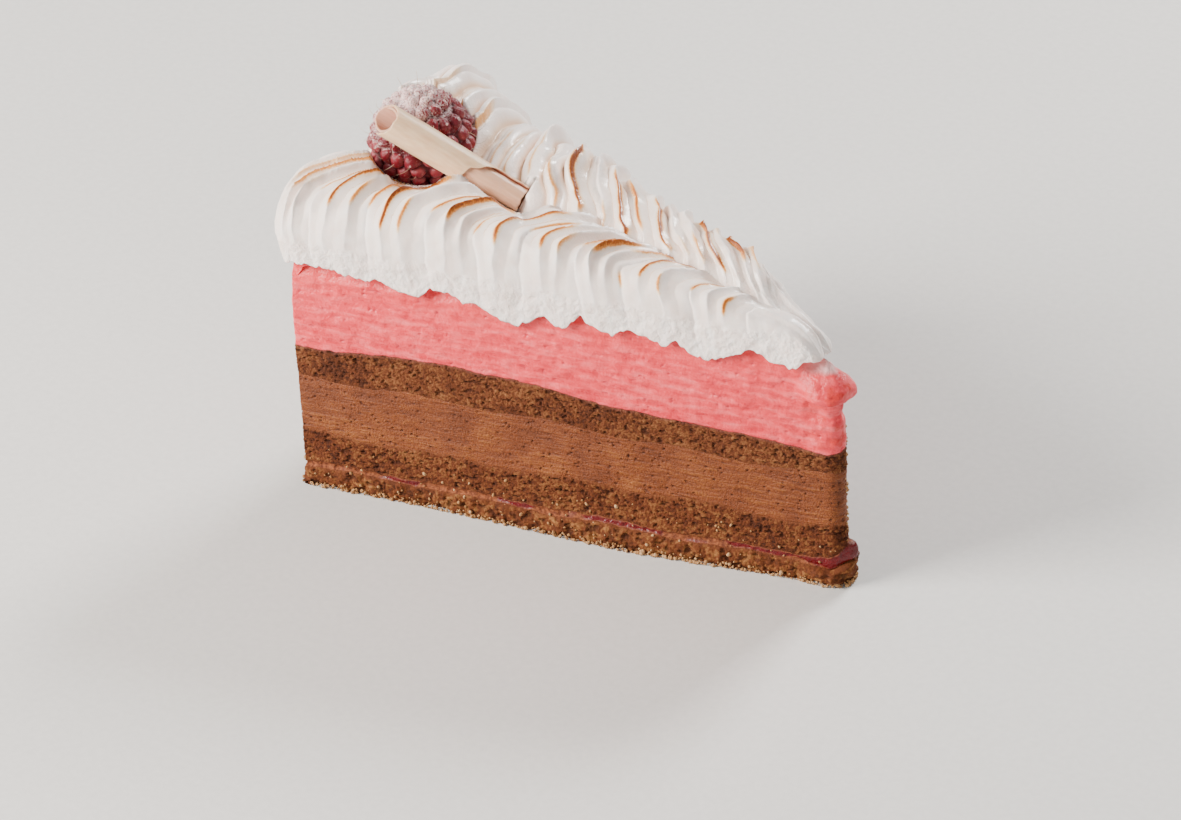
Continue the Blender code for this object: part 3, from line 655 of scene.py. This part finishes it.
def build_curl(rows, count, material):
    """White chocolate shaving: a sheet rolled into a spiral round its axis, its high end cut on a slant and
    its outer edge torn away past the middle, with an outer skin, an inner skin and the edges between."""
    axis, side, up, length = curl_frame()
    along, turn = np.meshgrid(np.linspace(0.0, 1.0, rows), np.linspace(0.0, 1.0, count), indexing="ij")
    outer_edge = -1.1
    inner_edge = outer_edge + 1.6 * math.tau
    start = outer_edge + 1.96 * smooth(along, 0.56, 0.63) + 1.1 * smooth(along, 0.63, 0.8)
    start = start + 0.12 * noise(np.stack([along * length, 0 * along, 0 * along], -1), 1.3, 114)
    angle = start + (inner_edge - start) * turn
    slant = CURL_SLANT * np.cos(angle - 0.66) * smooth(along, 0.35, 0.0)
    out = np.cos(angle)[..., None] * side + np.sin(angle)[..., None] * up
    drawn = 0.05 * noise(np.stack([along * 3.0, angle * 9.0, 0 * angle], -1), 1.0, 111)
    skins = []
    for depth in (0.0, CURL_SHEET):
        thin = depth * (0.35 + 0.65 * smooth(turn, 0.0, 0.05))
        radius = CURL_RADIUS - CURL_TAPER * along - CURL_TURN * (angle - outer_edge) / math.tau - thin
        p = CURL_HIGH + (along * length + slant)[..., None] * axis + radius[..., None] * out
        chipped = 0.28 * noise(p, 1.1, 112) * (smooth(along, 0.03, 0.0) - smooth(along, 0.97, 1.0))
        wave = drawn + 0.10 * noise(p, 6.0, 113)
        skins.append((p + out * wave[..., None] + axis * chipped[..., None]).reshape(-1, 3))
    size = rows * count
    outer = grid_quads(rows, count)
    rim = np.concatenate([
        np.arange(count), np.arange(2 * count - 1, size, count),
        np.arange(size - 2, size - count - 1, -1), np.arange(size - 2 * count, 0, -count)])
    ahead = np.roll(rim, -1)
    edge = np.stack([rim, rim + size, ahead + size, ahead], -1)
    faces = np.concatenate([outer, outer[:, ::-1] + size, edge])
    # share of painted shade inside the roll: all of the inner skin and the inner turns of the outer skin
    inside = 0.6 * smooth(angle - outer_edge, 4.9, 5.6)
    values = {
        "inside": np.concatenate([inside.ravel(), np.ones(size)]),
        "drawn": np.tile(angle.ravel(), 2), "along": np.tile(along.ravel() * length, 2)}
    make_piece("chocolate_curl_shaving", np.concatenate(skins), [faces], material, "chocolate_curl", values)


def berry_seeds():
    """Directions of the drupelets: staggered rings with one at the crown and one below."""
    seeds = [(0.0, 0.0, 1.0)]
    for ring in range(1, BERRY_RINGS + 1):
        polar = math.pi * ring / (BERRY_RINGS + 0.6)
        count = max(4, round(2.0 * (BERRY_RINGS + 0.6) * math.sin(polar) * 1.02))
        k = np.arange(count)
        around = math.tau * (k + 0.5 * (ring % 2)) / count + 0.13 * ring + 0.05 * np.sin(2.3 * k + ring)
        a = polar + 0.05 * np.sin(5.1 * k + 2.3 * ring)
        seeds.extend(zip(np.sin(a) * np.cos(around), np.sin(a) * np.sin(around), np.cos(a)))
    seeds.append((0.0, 0.0, -1.0))
    return np.array(seeds)


def berry_surface(direction, grow):
    """Blunt cone of ellipse section through unit directions, swollen by grow along them."""
    up = direction[..., 2]
    taper = 1.0 - 0.10 * up - 0.10 * np.maximum(0.0, up) ** 2
    width = (BERRY_WIDTH + grow) * taper
    return BERRY_CENTRE + direction * np.stack([width, width, BERRY_HEIGHT + grow], -1)


def build_berry(seeds, rows, count, material):
    """Raspberry: on a grid of directions, each point rises on the dome of its nearest drupelet, by the root
    of one less the square of its share of the way to the border. Sugar adds small grains where it lies."""
    polar = np.linspace(0.0, math.pi, rows)[1:-1]
    around = np.linspace(0.0, math.tau, count, endpoint=False)
    a, b = np.meshgrid(polar, around, indexing="ij")
    direction = np.stack([np.sin(a) * np.cos(b), np.sin(a) * np.sin(b), np.cos(a)], -1).reshape(-1, 3)
    direction = np.concatenate([direction, [UP, -UP]])
    wander = np.stack([noise(direction, 0.35, 120 + k) for k in range(3)], -1)
    looked = direction + 0.035 * wander
    looked = looked / np.linalg.norm(looked, axis=1, keepdims=True)
    nearness = looked @ seeds.T
    found = -np.partition(-nearness, 1, axis=1)[:, :2]
    first, second = np.arccos(np.clip(found, -1.0, 1.0)).T
    nearest = np.argmax(nearness, axis=1)
    share = np.clip(np.maximum(2.0 * first / (first + second), first / 0.172), 0.0, 1.0)
    dome = np.sqrt(np.clip(1.0 - 0.93 * share**2, 0.0, 1.0))
    tone = dice(nearest, 0, 0, 5)
    grow = -1.15 + (1.85 + 0.3 * tone) * dome
    p = berry_surface(direction, grow)
    clumps = layered(p, 1.5, 131) + 0.6 * noise(p, 0.5, 132)
    heavy = direction @ (-0.42, -0.12, 0.95)
    crown = smooth(share, 0.5, 0.05) * smooth(tone, 0.45, 0.7)
    settled = smooth(share, 0.6, 1.0)
    frost = 0.66 * smooth(heavy + 0.3 * clumps + 0.25 * settled, 0.0, 1.15)
    frost = np.maximum(frost, 0.6 * smooth(0.8 * crown + 0.4 * clumps + 0.3 * heavy, 0.4, 0.8))
    grains = 1.0 - cells(p, 0.42, 133)[0]
    p = berry_surface(direction, grow + frost * (0.04 + 0.16 * grains))
    p = p + 0.04 * noise(p, 0.9, 134)[:, None] * direction
    last = (rows - 3) * count
    ring = np.arange(count)
    caps = [fan(last + count, ring), fan(last + count + 1, last + ring)[:, ::-1]]
    faces = [grid_quads(rows - 2, count, around=True), np.concatenate(caps)]
    values = {"frost": frost, "border": share, "tone": tone}
    make_piece("raspberry_fruit", p, faces, material, "raspberry", values)


def build_hairs(seeds, material):
    """Dry styles: from most drupelets one thin curved hair, as a tapering tube of four sides along a bent
    line. They are drawn 0.13 mm thick, twice the real thickness, so that they show."""
    picks = seeds[(dice(np.arange(len(seeds)), 0, 0, 7) > 0.2) & (seeds[:, 2] > -0.35)]
    number = np.arange(len(picks))
    bend = np.stack([dice(number, k, 3, 11) - 0.5 for k in range(3)], -1)
    sideways = np.cross(picks, bend)
    sideways /= np.linalg.norm(sideways, axis=1, keepdims=True)
    across = np.cross(picks, sideways)
    length = 1.3 + 1.7 * dice(number, 1, 9, 13)
    steps = np.linspace(0.0, 1.0, 6)
    root = berry_surface(picks, np.full(len(picks), 0.55))
    rise = length[:, None] * np.sin(1.3 * steps)
    drift = length[:, None] * (1.0 - np.cos(1.5 * steps)) * 0.9
    line = root[:, None] + rise[..., None] * picks[:, None] + drift[..., None] * sideways[:, None]
    corners = np.arange(4) * math.pi / 2
    ring = np.cos(corners)[:, None, None] * across + np.sin(corners)[:, None, None] * np.cross(across, picks)
    thick = 0.065 * (1.0 - 0.6 * steps)
    points = line[:, :, None] + thick[None, :, None, None] * ring.transpose(1, 0, 2)[:, None]
    one = np.concatenate([grid_quads(6, 4, around=True), [(3, 2, 1, 0), (20, 21, 22, 23)]])
    faces = (one[None] + 24 * number[:, None, None]).reshape(-1, 4)
    make_piece("raspberry_styles", points.reshape(-1, 3), [faces], material, "raspberry")


def build_crumbs(material):
    """Loose crumbs stuck along the foot of the biscuit and up the tip: squashed twenty-sided grains, each
    turned and stretched by its own random numbers."""
    golden = (1.0 + math.sqrt(5.0)) / 2.0
    pairs = [(a, b) for a in (-1.0, 1.0) for b in (-golden, golden)]
    shape = np.array([p for a, b in pairs for p in ((0.0, a, b), (a, b, 0.0), (b, 0.0, a))])
    shape = shape / math.hypot(1.0, golden)
    apart = np.linalg.norm(shape[:, None] - shape[None], axis=-1) < 1.1
    sides = np.array([(i, j, k) for i in range(12) for j in range(i) for k in range(j)
                      if apart[i, j] and apart[j, k] and apart[i, k]])
    inward = np.linalg.det(shape[sides]) < 0
    sides[inward] = sides[inward][:, ::-1]
    number = np.arange(2600)
    x, y, nx, ny, r, v = outline(len(number))
    s = CUT_RADIUS - r
    low = dice(number, 5, 1, 17) < 0.42 + 0.3 * smooth(s, 105.0, 118.0)
    tip = (s > 115.0) & (v > 0.1)
    groups = [(low, 0.15 + 1.3 * dice(number, 2, 2, 19) ** 2, 0.75)]
    for k in range(6):
        groups.append((tip & (dice(number, k, 7, 23) < 0.45), 5.0 + 31.0 * dice(number, k, 8, 29), 0.25))
    for k in range(2):
        groups.append((dice(number, k, 11, 31) < 0.06, 0.5 + 10.0 * dice(number, k, 12, 37), 0.1))
    centres, sizes = [], []
    for pick, z, proud in groups:
        radius = 0.16 + 0.28 * dice(number, int(proud * 100), 4, 41) ** 2
        z = np.maximum(z, radius)
        p = np.stack([x, y, z], -1)
        out = side_shape(s, v, z, p) + proud * radius + (0.35 + 0.7 * smooth(s, 112.0, 118.0)) * (z < 4.0)
        p = p + out[:, None] * np.stack([nx, ny, 0 * nx], -1)
        centres.append(p[pick])
        sizes.append(radius[pick])
    centres, sizes = np.concatenate(centres), np.concatenate(sizes)
    n = np.arange(len(centres))
    spin = np.stack([dice(n, k, 1, 43) - 0.5 for k in range(9)], -1).reshape(-1, 3, 3)
    turned, _ = np.linalg.qr(spin)
    stretch = 0.7 + 0.7 * np.stack([dice(n, k, 2, 47) for k in range(3)], -1)
    uneven = 0.8 + 0.4 * dice(n[:, None], np.arange(12)[None], 3, 53)
    grains = shape[None] * uneven[..., None] * stretch[:, None] * sizes[:, None, None]
    grains = np.einsum("nij,nkj->nki", turned, grains) + centres[:, None]
    grains[..., 2] = np.maximum(grains[..., 2], 0.03)
    faces = sides[None] + 12 * n[:, None, None]
    mirrored = np.linalg.det(turned) < 0
    faces[mirrored] = faces[mirrored][..., ::-1]
    faces = faces.reshape(-1, 3)
    values = {"tone": np.repeat(dice(n, 9, 9, 59), 12)}
    make_piece("loose_crumbs", grains.reshape(-1, 3), [faces], material, "biscuit_base", values)


def linear(code):
    """Turns an sRGB hex colour into linear values with full alpha."""
    parts = [int(code[k:k + 2], 16) / 255.0 for k in (1, 3, 5)]
    return (*[c / 12.92 if c <= 0.04045 else ((c + 0.055) / 1.055) ** 2.4 for c in parts], 1.0)


def connect(tree, node, inputs):
    """Sets inputs of a node: each gets a value, or a link from a node, by its first output in use unless
    another is named with it."""
    for key, value in inputs.items():
        source, place = value if isinstance(value, tuple) and len(value) == 2 else (value, None)
        if not isinstance(source, bpy.types.Node):
            node.inputs[key].default_value = value
        elif place is None:
            tree.links.new(next(way for way in source.outputs if way.enabled), node.inputs[key])
        else:
            tree.links.new(source.outputs[place], node.inputs[key])


def add(tree, kind, inputs, stops=(), **settings):
    """Adds one shader node with its settings, ramp stops and inputs. Map Range inputs go by number: 0 the
    value, 1 and 2 its range, 3 and 4 the new range. So do those of a colour Mix: 0 share, 6 and 7 colours."""
    made = tree.nodes.new("ShaderNode" + kind)
    if kind == "Mix":
        made.data_type = "RGBA"
    for key, value in settings.items():
        setattr(made, key, value)
    for k, (place, code) in enumerate(stops):
        ramp = made.color_ramp.elements
        stop = ramp[k] if k < 2 else ramp.new(place)
        stop.position = place
        stop.color = linear(code)
    connect(tree, made, inputs)
    return made


def new_material(name, *keys):
    """New material: its tree, its shader joined to the output, the texture coordinates in millimetres, and
    the value of each named attribute."""
    made = bpy.data.materials.new(name)
    made.use_nodes = True
    tree = made.node_tree
    tree.nodes.clear()
    shader = add(tree, "BsdfPrincipled", {})
    add(tree, "OutputMaterial", {0: shader})
    place = add(tree, "TexCoord", {})
    place = add(tree, "VectorMath", {0: (place, "Object"), "Scale": 1.0 / MM}, operation="SCALE")
    factors = [(add(tree, "Attribute", {}, attribute_name=key), "Fac") for key in keys]
    return made, tree, shader, place, *factors


def crumb_material(name, dark, middle, light, seam, grain):
    """Baked cocoa crumb, torn by the knife: dull, its pores darkened by painted shade, with paler dry grains.
    Where the layer meets mousse a thin smear takes the seam colour."""
    made, tree, shader, place, hollow, tone, head = new_material(name, "hollow", "tone", "head")
    speck = add(tree, "TexNoise", {"Vector": place, "Scale": 1.0 / grain, "Detail": 4.0})
    patch = add(tree, "TexNoise", {"Vector": place, "Scale": 0.12, "Detail": 2.0})
    mixed = add(tree, "Math", {0: speck, 1: tone}, operation="ADD")
    mixed = add(tree, "Math", {0: mixed, 1: patch}, operation="ADD")
    mixed = add(tree, "MapRange", {0: mixed, 1: 0.85, 2: 2.15})
    shade = add(tree, "ValToRGB", {0: mixed}, stops=((0.0, dark), (1.0, light), (0.5, middle)))
    # painted shade: pores and tears darken towards the dark colour
    sunk = add(tree, "Mix", {0: hollow, 6: shade, 7: linear(dark)})
    torn = add(tree, "TexNoise", {"Vector": place, "Scale": 0.9, "Detail": 3.0})
    reach = add(tree, "Math", {0: torn, 1: head}, operation="SUBTRACT")
    smear_and_painted_highlight = add(tree, "MapRange", {0: reach, 1: -0.35, 2: 0.5, 4: 0.55})
    colour = add(tree, "Mix", {0: smear_and_painted_highlight, 6: sunk, 7: linear(seam)})
    bump = add(tree, "Bump", {"Height": speck, "Strength": 0.55, "Distance": 0.0004})
    connect(tree, shader, {
        "Base Color": colour, "Roughness": 0.85, "IOR": 1.45, "Specular IOR Level": 0.25, "Normal": bump})
    return made


def mousse_material():
    """Set chocolate mousse cut with a wet knife: satin, with fine pale drag lines, and bubbles and tears
    darkened by painted shade.
    """
    made, tree, shader, place, hollow, tone = new_material("cut_chocolate_mousse", "hollow", "tone")
    drawn = add(tree, "Mapping", {"Vector": place, "Scale": (0.35, 0.35, 3.2)})
    lines = add(tree, "TexNoise", {"Vector": drawn, "Scale": 1.0, "Detail": 4.0})
    speck = add(tree, "TexNoise", {"Vector": place, "Scale": 2.6, "Detail": 3.0})
    patch = add(tree, "TexNoise", {"Vector": place, "Scale": 0.10, "Detail": 2.0})
    mixed = add(tree, "Math", {0: lines, 1: speck}, operation="ADD")
    mixed = add(tree, "Math", {0: mixed, 1: patch}, operation="ADD")
    mixed = add(tree, "Math", {0: tone, 1: 0.5, 2: mixed}, operation="MULTIPLY_ADD")
    level = add(tree, "MapRange", {0: mixed, 1: 1.3, 2: 2.25})
    shade = add(tree, "ValToRGB", {0: level}, stops=((0.0, "#58280D"), (1.0, "#925521"), (0.5, "#763A14")))
    # painted shade: bubbles and tears darken towards a deep brown
    colour = add(tree, "Mix", {0: hollow, 6: shade, 7: linear("#4A2110")})
    bump = add(tree, "Bump", {"Height": mixed, "Strength": 0.8, "Distance": 0.0004})
    connect(tree, shader, {
        "Base Color": colour, "Roughness": 0.55, "IOR": 1.45, "Specular IOR Level": 0.35, "Normal": bump})
    return made


def pink_material():
    """Raspberry mousse: cloudy and soft pink, with red threads of fruit drawn along by the knife, a redder
    band under the top, painted shade deepening its tears and bubbles, and a satin wet sheen. At the tip, red
    pulp and a painted white highlight along the bevel."""
    made, tree, shader, place, hollow = new_material("cut_raspberry_mousse", "hollow")
    drawn = add(tree, "Mapping", {"Vector": place, "Scale": (0.2, 0.2, 0.8)})
    lines = add(tree, "TexNoise", {"Vector": drawn, "Scale": 1.0, "Detail": 6.0})
    colour = add(tree, "ValToRGB", {0: lines}, stops=((0.3, "#D02434"), (0.7, "#F46268"), (0.5, "#E83F49")))
    drawn = add(tree, "Mapping", {"Vector": place, "Scale": (0.42, 0.42, 1.0), "Location": (31.0, 7.0, 3.0)})
    threads = add(tree, "TexNoise", {"Vector": drawn, "Scale": 1.0, "Detail": 3.0})
    threads = add(tree, "MapRange", {0: threads, 1: 0.66, 2: 0.76, 4: 0.7})
    wander = add(tree, "TexNoise", {"Vector": place, "Scale": 0.16, "Detail": 3.0})
    height = add(tree, "SeparateXYZ", {0: place})
    band = add(tree, "Math", {0: wander, 1: 9.0, 2: (height, "Z")}, operation="MULTIPLY_ADD")
    band = add(tree, "MapRange", {0: band, 1: 51.0, 2: 57.0, 4: 0.6})
    at_tip = add(tree, "MapRange", {0: (height, "X"), 1: 54.0, 2: 63.0})
    pulp = add(tree, "TexNoise", {"Vector": place, "Scale": 0.42, "Detail": 2.0})
    pulp = add(tree, "MapRange", {0: pulp, 1: 0.5, 2: 0.62, 4: 0.8})
    pulp = add(tree, "Math", {0: pulp, 1: at_tip}, operation="MULTIPLY")
    # painted highlight: a white strip along the top of the bevel at the tip, where a wet glint shows
    smear_and_painted_highlight = add(tree, "Math", {0: wander, 1: 3.0, 2: (height, "Z")}, operation="MULTIPLY_ADD")
    smear_and_painted_highlight = add(tree, "MapRange", {0: smear_and_painted_highlight, 1: 50.6, 2: 51.6, 4: 0.9})
    smear_and_painted_highlight = add(tree, "Math", {0: smear_and_painted_highlight, 1: at_tip}, operation="MULTIPLY")
    # coats over the pink: a redder band, red threads, painted shade deepening tears and bubbles, red pulp at
    # the tip, and a painted white highlight along the bevel
    for share, code in ((band, "#E23E40"), (threads, "#C42436"), (hollow, "#CF3A48"), (pulp, "#CE2A22"),
                        (smear_and_painted_highlight, "#F8EAE6")):
        colour = add(tree, "Mix", {0: share, 6: colour, 7: linear(code)})
    fine = add(tree, "TexNoise", {"Vector": place, "Scale": 1.8, "Detail": 3.0})
    level = add(tree, "Math", {0: lines, 1: fine}, operation="ADD")
    bump = add(tree, "Bump", {"Height": level, "Strength": 0.4, "Distance": 0.0005})
    connect(tree, shader, {
        "Base Color": colour, "Roughness": 0.38, "IOR": 1.42, "Specular IOR Level": 0.5, "Normal": bump,
        "Subsurface Weight": 0.15, "Subsurface Radius": (1.0, 0.45, 0.4), "Subsurface Scale": 0.001})
    return made


def jam_material():
    """Seedless raspberry jam: dark, clear and wet where it swells out, dull where crumb has soaked it up."""
    made, tree, shader, place, wet = new_material("raspberry_jam", "hollow")
    speck = add(tree, "TexNoise", {"Vector": place, "Scale": 1.6, "Detail": 4.0})
    soaked = add(tree, "ValToRGB", {0: speck}, stops=((0.35, "#5A2A14"), (0.65, "#8E4E2A")))
    colour = add(tree, "Mix", {0: wet, 6: soaked, 7: linear("#5C060C")})
    dull = add(tree, "MapRange", {0: wet, 3: 0.85, 4: 0.22})
    bump = add(tree, "Bump", {"Height": speck, "Strength": 0.6, "Distance": 0.0004})
    connect(tree, shader, {
        "Base Color": colour, "Roughness": dull, "IOR": 1.46, "Specular IOR Level": 0.4, "Normal": bump})
    return made


def meringue_material():
    """Whipped Italian meringue: dense satin white that glows a little, tan in its creases, partly from toast
    and partly as painted shade, wet on the crests, foamy and dull in the cut band, with the ridges toasted
    from tan to dark brown by a flame."""
    made, tree, shader, place, ridge, brown, band, gloss, crease_toast_and_shade = new_material(
        "torched_italian_meringue", "ridge", "brown", "band", "gloss", "crease_toast_and_shade")
    speck = add(tree, "TexNoise", {"Vector": place, "Scale": 2.4, "Detail": 3.0})
    patch = add(tree, "TexNoise", {"Vector": place, "Scale": 0.35, "Detail": 2.0})
    away = add(tree, "Math", {0: ridge}, operation="ABSOLUTE")
    away = add(tree, "Math", {0: speck, 1: -0.55, 2: away}, operation="MULTIPLY_ADD")
    line = add(tree, "MapRange", {0: away, 1: 0.32, 2: -0.25})
    halo = add(tree, "MapRange", {0: away, 1: 1.1, 2: 0.0, 4: 0.25})
    toast = add(tree, "Math", {0: line, 1: halo}, operation="ADD")
    toast = add(tree, "Math", {0: toast, 1: brown}, operation="MULTIPLY")
    toasted = add(tree, "ValToRGB", {0: toast}, stops=(
        (0.0, "#FAECE3"), (1.0, "#8A4210"), (0.16, "#F7DABB"), (0.4, "#EBA254"), (0.75, "#C06A1E")))
    white = add(tree, "ValToRGB", {0: patch}, stops=((0.3, "#FBEAE2"), (0.7, "#FFF4EE")))
    # painted shade: the white turns tan in the creases between lobes, partly toast where lobes overlap
    shade = add(tree, "Math", {0: crease_toast_and_shade, 1: 0.8}, operation="MULTIPLY")
    white = add(tree, "Mix", {0: shade, 6: white, 7: linear("#E6B98C")})
    keep = add(tree, "MapRange", {0: toast, 1: 0.02, 2: 0.1})
    colour = add(tree, "Mix", {0: keep, 6: white, 7: toasted})
    rough = add(tree, "Math", {0: speck, 1: band}, operation="MULTIPLY")
    for share in (gloss, 0.2):
        rough = add(tree, "Math", {0: speck, 1: share, 2: rough}, operation="MULTIPLY_ADD")
    bump = add(tree, "Bump", {"Height": rough, "Strength": 0.5, "Distance": 0.0004})
    dull = add(tree, "MapRange", {0: gloss, 3: 0.5, 4: 0.3})
    connect(tree, shader, {
        "Base Color": colour, "Roughness": dull, "IOR": 1.43, "Specular IOR Level": 0.4, "Normal": bump,
        "Subsurface Weight": 0.15, "Subsurface Radius": (1.0, 0.7, 0.6), "Subsurface Scale": 0.0009,
        "Coat Weight": gloss, "Coat Roughness": 0.2})
    return made


def berry_material():
    """Fresh raspberry: each drupelet a clear dark red bead, paler towards its border and darkened by painted
    shade in the crevice where beads meet, under icing sugar that is white where thick and lets pink through
    where thin."""
    made, tree, shader, place, frost, border, tone = new_material(
        "sugared_raspberry", "frost", "border", "tone")
    speck = add(tree, "TexNoise", {"Vector": place, "Scale": 2.6, "Detail": 6.0})
    # drupelet colour: paler towards the border, then painted shade going dark in the crevice where beads meet
    skin_and_crevice_shade = add(tree, "ValToRGB", {0: border}, stops=(
        (0.0, "#781626"), (1.0, "#3E0912"), (0.45, "#821B28"), (0.8, "#9C464C")))
    deep = add(tree, "Mix", {0: tone, 6: skin_and_crevice_shade, 7: linear("#681220")})
    dust = add(tree, "Math", {0: speck, 1: 1.7, 2: frost}, operation="MULTIPLY_ADD")
    cover = add(tree, "MapRange", {0: dust, 1: 1.08, 2: 1.62, 4: 0.95})
    colour = add(tree, "Mix", {0: cover, 6: deep, 7: linear("#EAD0CC")})
    rough = add(tree, "MapRange", {0: cover, 3: 0.28, 4: 0.8})
    bump = add(tree, "Bump", {"Height": dust, "Strength": 0.5, "Distance": 0.0003})
    connect(tree, shader, {
        "Base Color": colour, "Roughness": rough, "IOR": 1.38, "Specular IOR Level": 0.5, "Normal": bump,
        "Subsurface Weight": 0.3, "Subsurface Radius": (1.0, 0.25, 0.2), "Subsurface Scale": 0.0009})
    return made


def curl_material():
    """White chocolate shaved from a block: waxy ivory, made darker and pinker inside the roll by painted
    shade, with faint lines from the blade round the roll."""
    made, tree, shader, _, inside, drawn, along = new_material(
        "shaved_white_chocolate", "inside", "drawn", "along")
    sheet = add(tree, "CombineXYZ", {0: along, 1: drawn})
    lines = add(tree, "Mapping", {"Vector": sheet, "Scale": (0.25, 4.0, 1.0)})
    streak = add(tree, "TexNoise", {"Vector": lines, "Scale": 1.0, "Detail": 3.0})
    cream = add(tree, "ValToRGB", {0: streak}, stops=((0.3, "#DEB48E"), (0.75, "#ECCBA6")))
    # painted shade: the inside of the roll turns darker and pinker
    colour = add(tree, "Mix", {0: inside, 6: cream, 7: linear("#D09C84")})
    bump = add(tree, "Bump", {"Height": streak, "Strength": 0.25, "Distance": 0.0003})
    connect(tree, shader, {
        "Base Color": colour, "Roughness": 0.42, "IOR": 1.45, "Specular IOR Level": 0.45, "Normal": bump,
        "Subsurface Weight": 0.3, "Subsurface Radius": (1.0, 0.7, 0.4), "Subsurface Scale": 0.0012})
    return made


def plain_material(name, dark, light):
    """One dull colour with a faint mottle, for the floor and the hairs."""
    made, tree, shader, place = new_material(name)
    mottle = add(tree, "TexNoise", {"Vector": place, "Scale": 0.6, "Detail": 2.0})
    colour = add(tree, "ValToRGB", {0: mottle}, stops=((0.3, dark), (0.7, light)))
    connect(tree, shader, {"Base Color": colour, "Roughness": 0.6})
    return made


def place_camera():
    """Camera of the photograph: turned 39.8 degrees from the near face, looking down 32 degrees, with a
    long lens and a small roll."""
    turn, tilt, roll = math.radians(39.753), math.radians(32.0), math.radians(-3.24)
    forward = Vector((-math.sin(turn) * math.cos(tilt), math.cos(turn) * math.cos(tilt), -math.sin(tilt)))
    level = Vector((math.cos(turn), math.sin(turn), 0.0))
    upright = level.cross(forward)
    right = math.cos(roll) * level + math.sin(roll) * upright
    up = math.cos(roll) * upright - math.sin(roll) * level
    data = bpy.data.cameras.new("camera")
    data.sensor_fit = "HORIZONTAL"
    data.sensor_width = 36.0
    data.lens = 164.6
    camera = bpy.data.objects.new("camera", data)
    turned = Matrix((right, up, -forward)).transposed().to_4x4()
    spot = Vector((537.776 + TIP_X, -735.467, 616.302)) * MM
    camera.matrix_world = Matrix.Translation(spot) @ turned
    bpy.context.scene.collection.objects.link(camera)
    bpy.context.scene.camera = camera


def area_light(name, spot, size, power, colour):
    """Square soft light that looks at the middle of the slice."""
    data = bpy.data.lights.new(name, "AREA")
    data.size = size
    data.energy = power
    data.color = colour
    light = bpy.data.objects.new(name, data)
    light.location = spot
    aim = Vector((0.0, 0.0, 0.04)) - Vector(spot)
    light.rotation_euler = aim.to_track_quat("-Z", "Y").to_euler()
    bpy.context.scene.collection.objects.link(light)


def build_stage():
    """Pale floor, even pale surroundings and three soft lights."""
    mesh = bpy.data.meshes.new("floor")
    reach = 3.0
    corners = [(-reach, -reach, 0.0), (reach, -reach, 0.0), (reach, reach, 0.0), (-reach, reach, 0.0)]
    mesh.from_pydata(corners, [], [(0, 1, 2, 3)])
    mesh.materials.append(plain_material("pale_floor", "#D3D1CE", "#D9D7D4"))
    floor = bpy.data.objects.new("floor", mesh)
    bpy.context.scene.collection.objects.link(floor)
    world = bpy.data.worlds.new("soft_room")
    world.use_nodes = True
    world.node_tree.nodes["Background"].inputs[0].default_value = linear("#F3EEEB")
    world.node_tree.nodes["Background"].inputs[1].default_value = 0.38
    bpy.context.scene.world = world
    area_light("key_light", (-0.52, -0.64, 0.48), 0.5, 25.0, (1.0, 0.95, 0.89))
    area_light("back_light", (0.0, 0.9, 0.7), 0.3, 18.0, (1.0, 0.99, 0.97))
    area_light("fill_light", (0.9, -0.5, 0.6), 0.7, 2.5, (0.96, 0.98, 1.0))


place_camera()
build_stage()
biscuit = crumb_material("pressed_cocoa_biscuit", "#341709", "#633216", "#966638", "#603018", 0.5)
lower_crumb = crumb_material("cocoa_sponge_lower", "#2E1206", "#5D2D13", "#875830", "#784428", 0.4)
upper_crumb = crumb_material("cocoa_sponge_upper", "#301407", "#5C2E15", "#845430", "#724038", 0.4)
dry_crumb = crumb_material("dry_biscuit_crumb", "#6E4426", "#A87C52", "#D9B88C", "#A87C52", 0.5)
build_layer("biscuit_base", 0, 26, 1800, 1, biscuit_detail, biscuit)
build_layer("jam_layer", 1, 8, 1500, 1, jam_detail, jam_material())
build_layer("lower_sponge", 2, 44, 1800, 1, sponge_detail(51), lower_crumb)
build_layer("chocolate_mousse", 3, 56, 1450, 1, mousse_detail, mousse_material())
build_layer("upper_sponge", 4, 46, 1800, 1, sponge_detail(81), upper_crumb)
build_layer("raspberry_mousse", 5, 66, 1200, 10, pink_detail, pink_material())
meringue = meringue_material()
build_rope("meringue_near_rope", NEAR, 640, 150, meringue)
build_rope("meringue_far_rope", FAR, 620, 150, meringue)
drupelets = berry_seeds()
build_berry(drupelets, 260, 300, berry_material())
build_hairs(drupelets, plain_material("dry_styles", "#D2BCA2", "#D8C2A8"))
build_curl(150, 150, curl_material())
build_crumbs(dry_crumb)
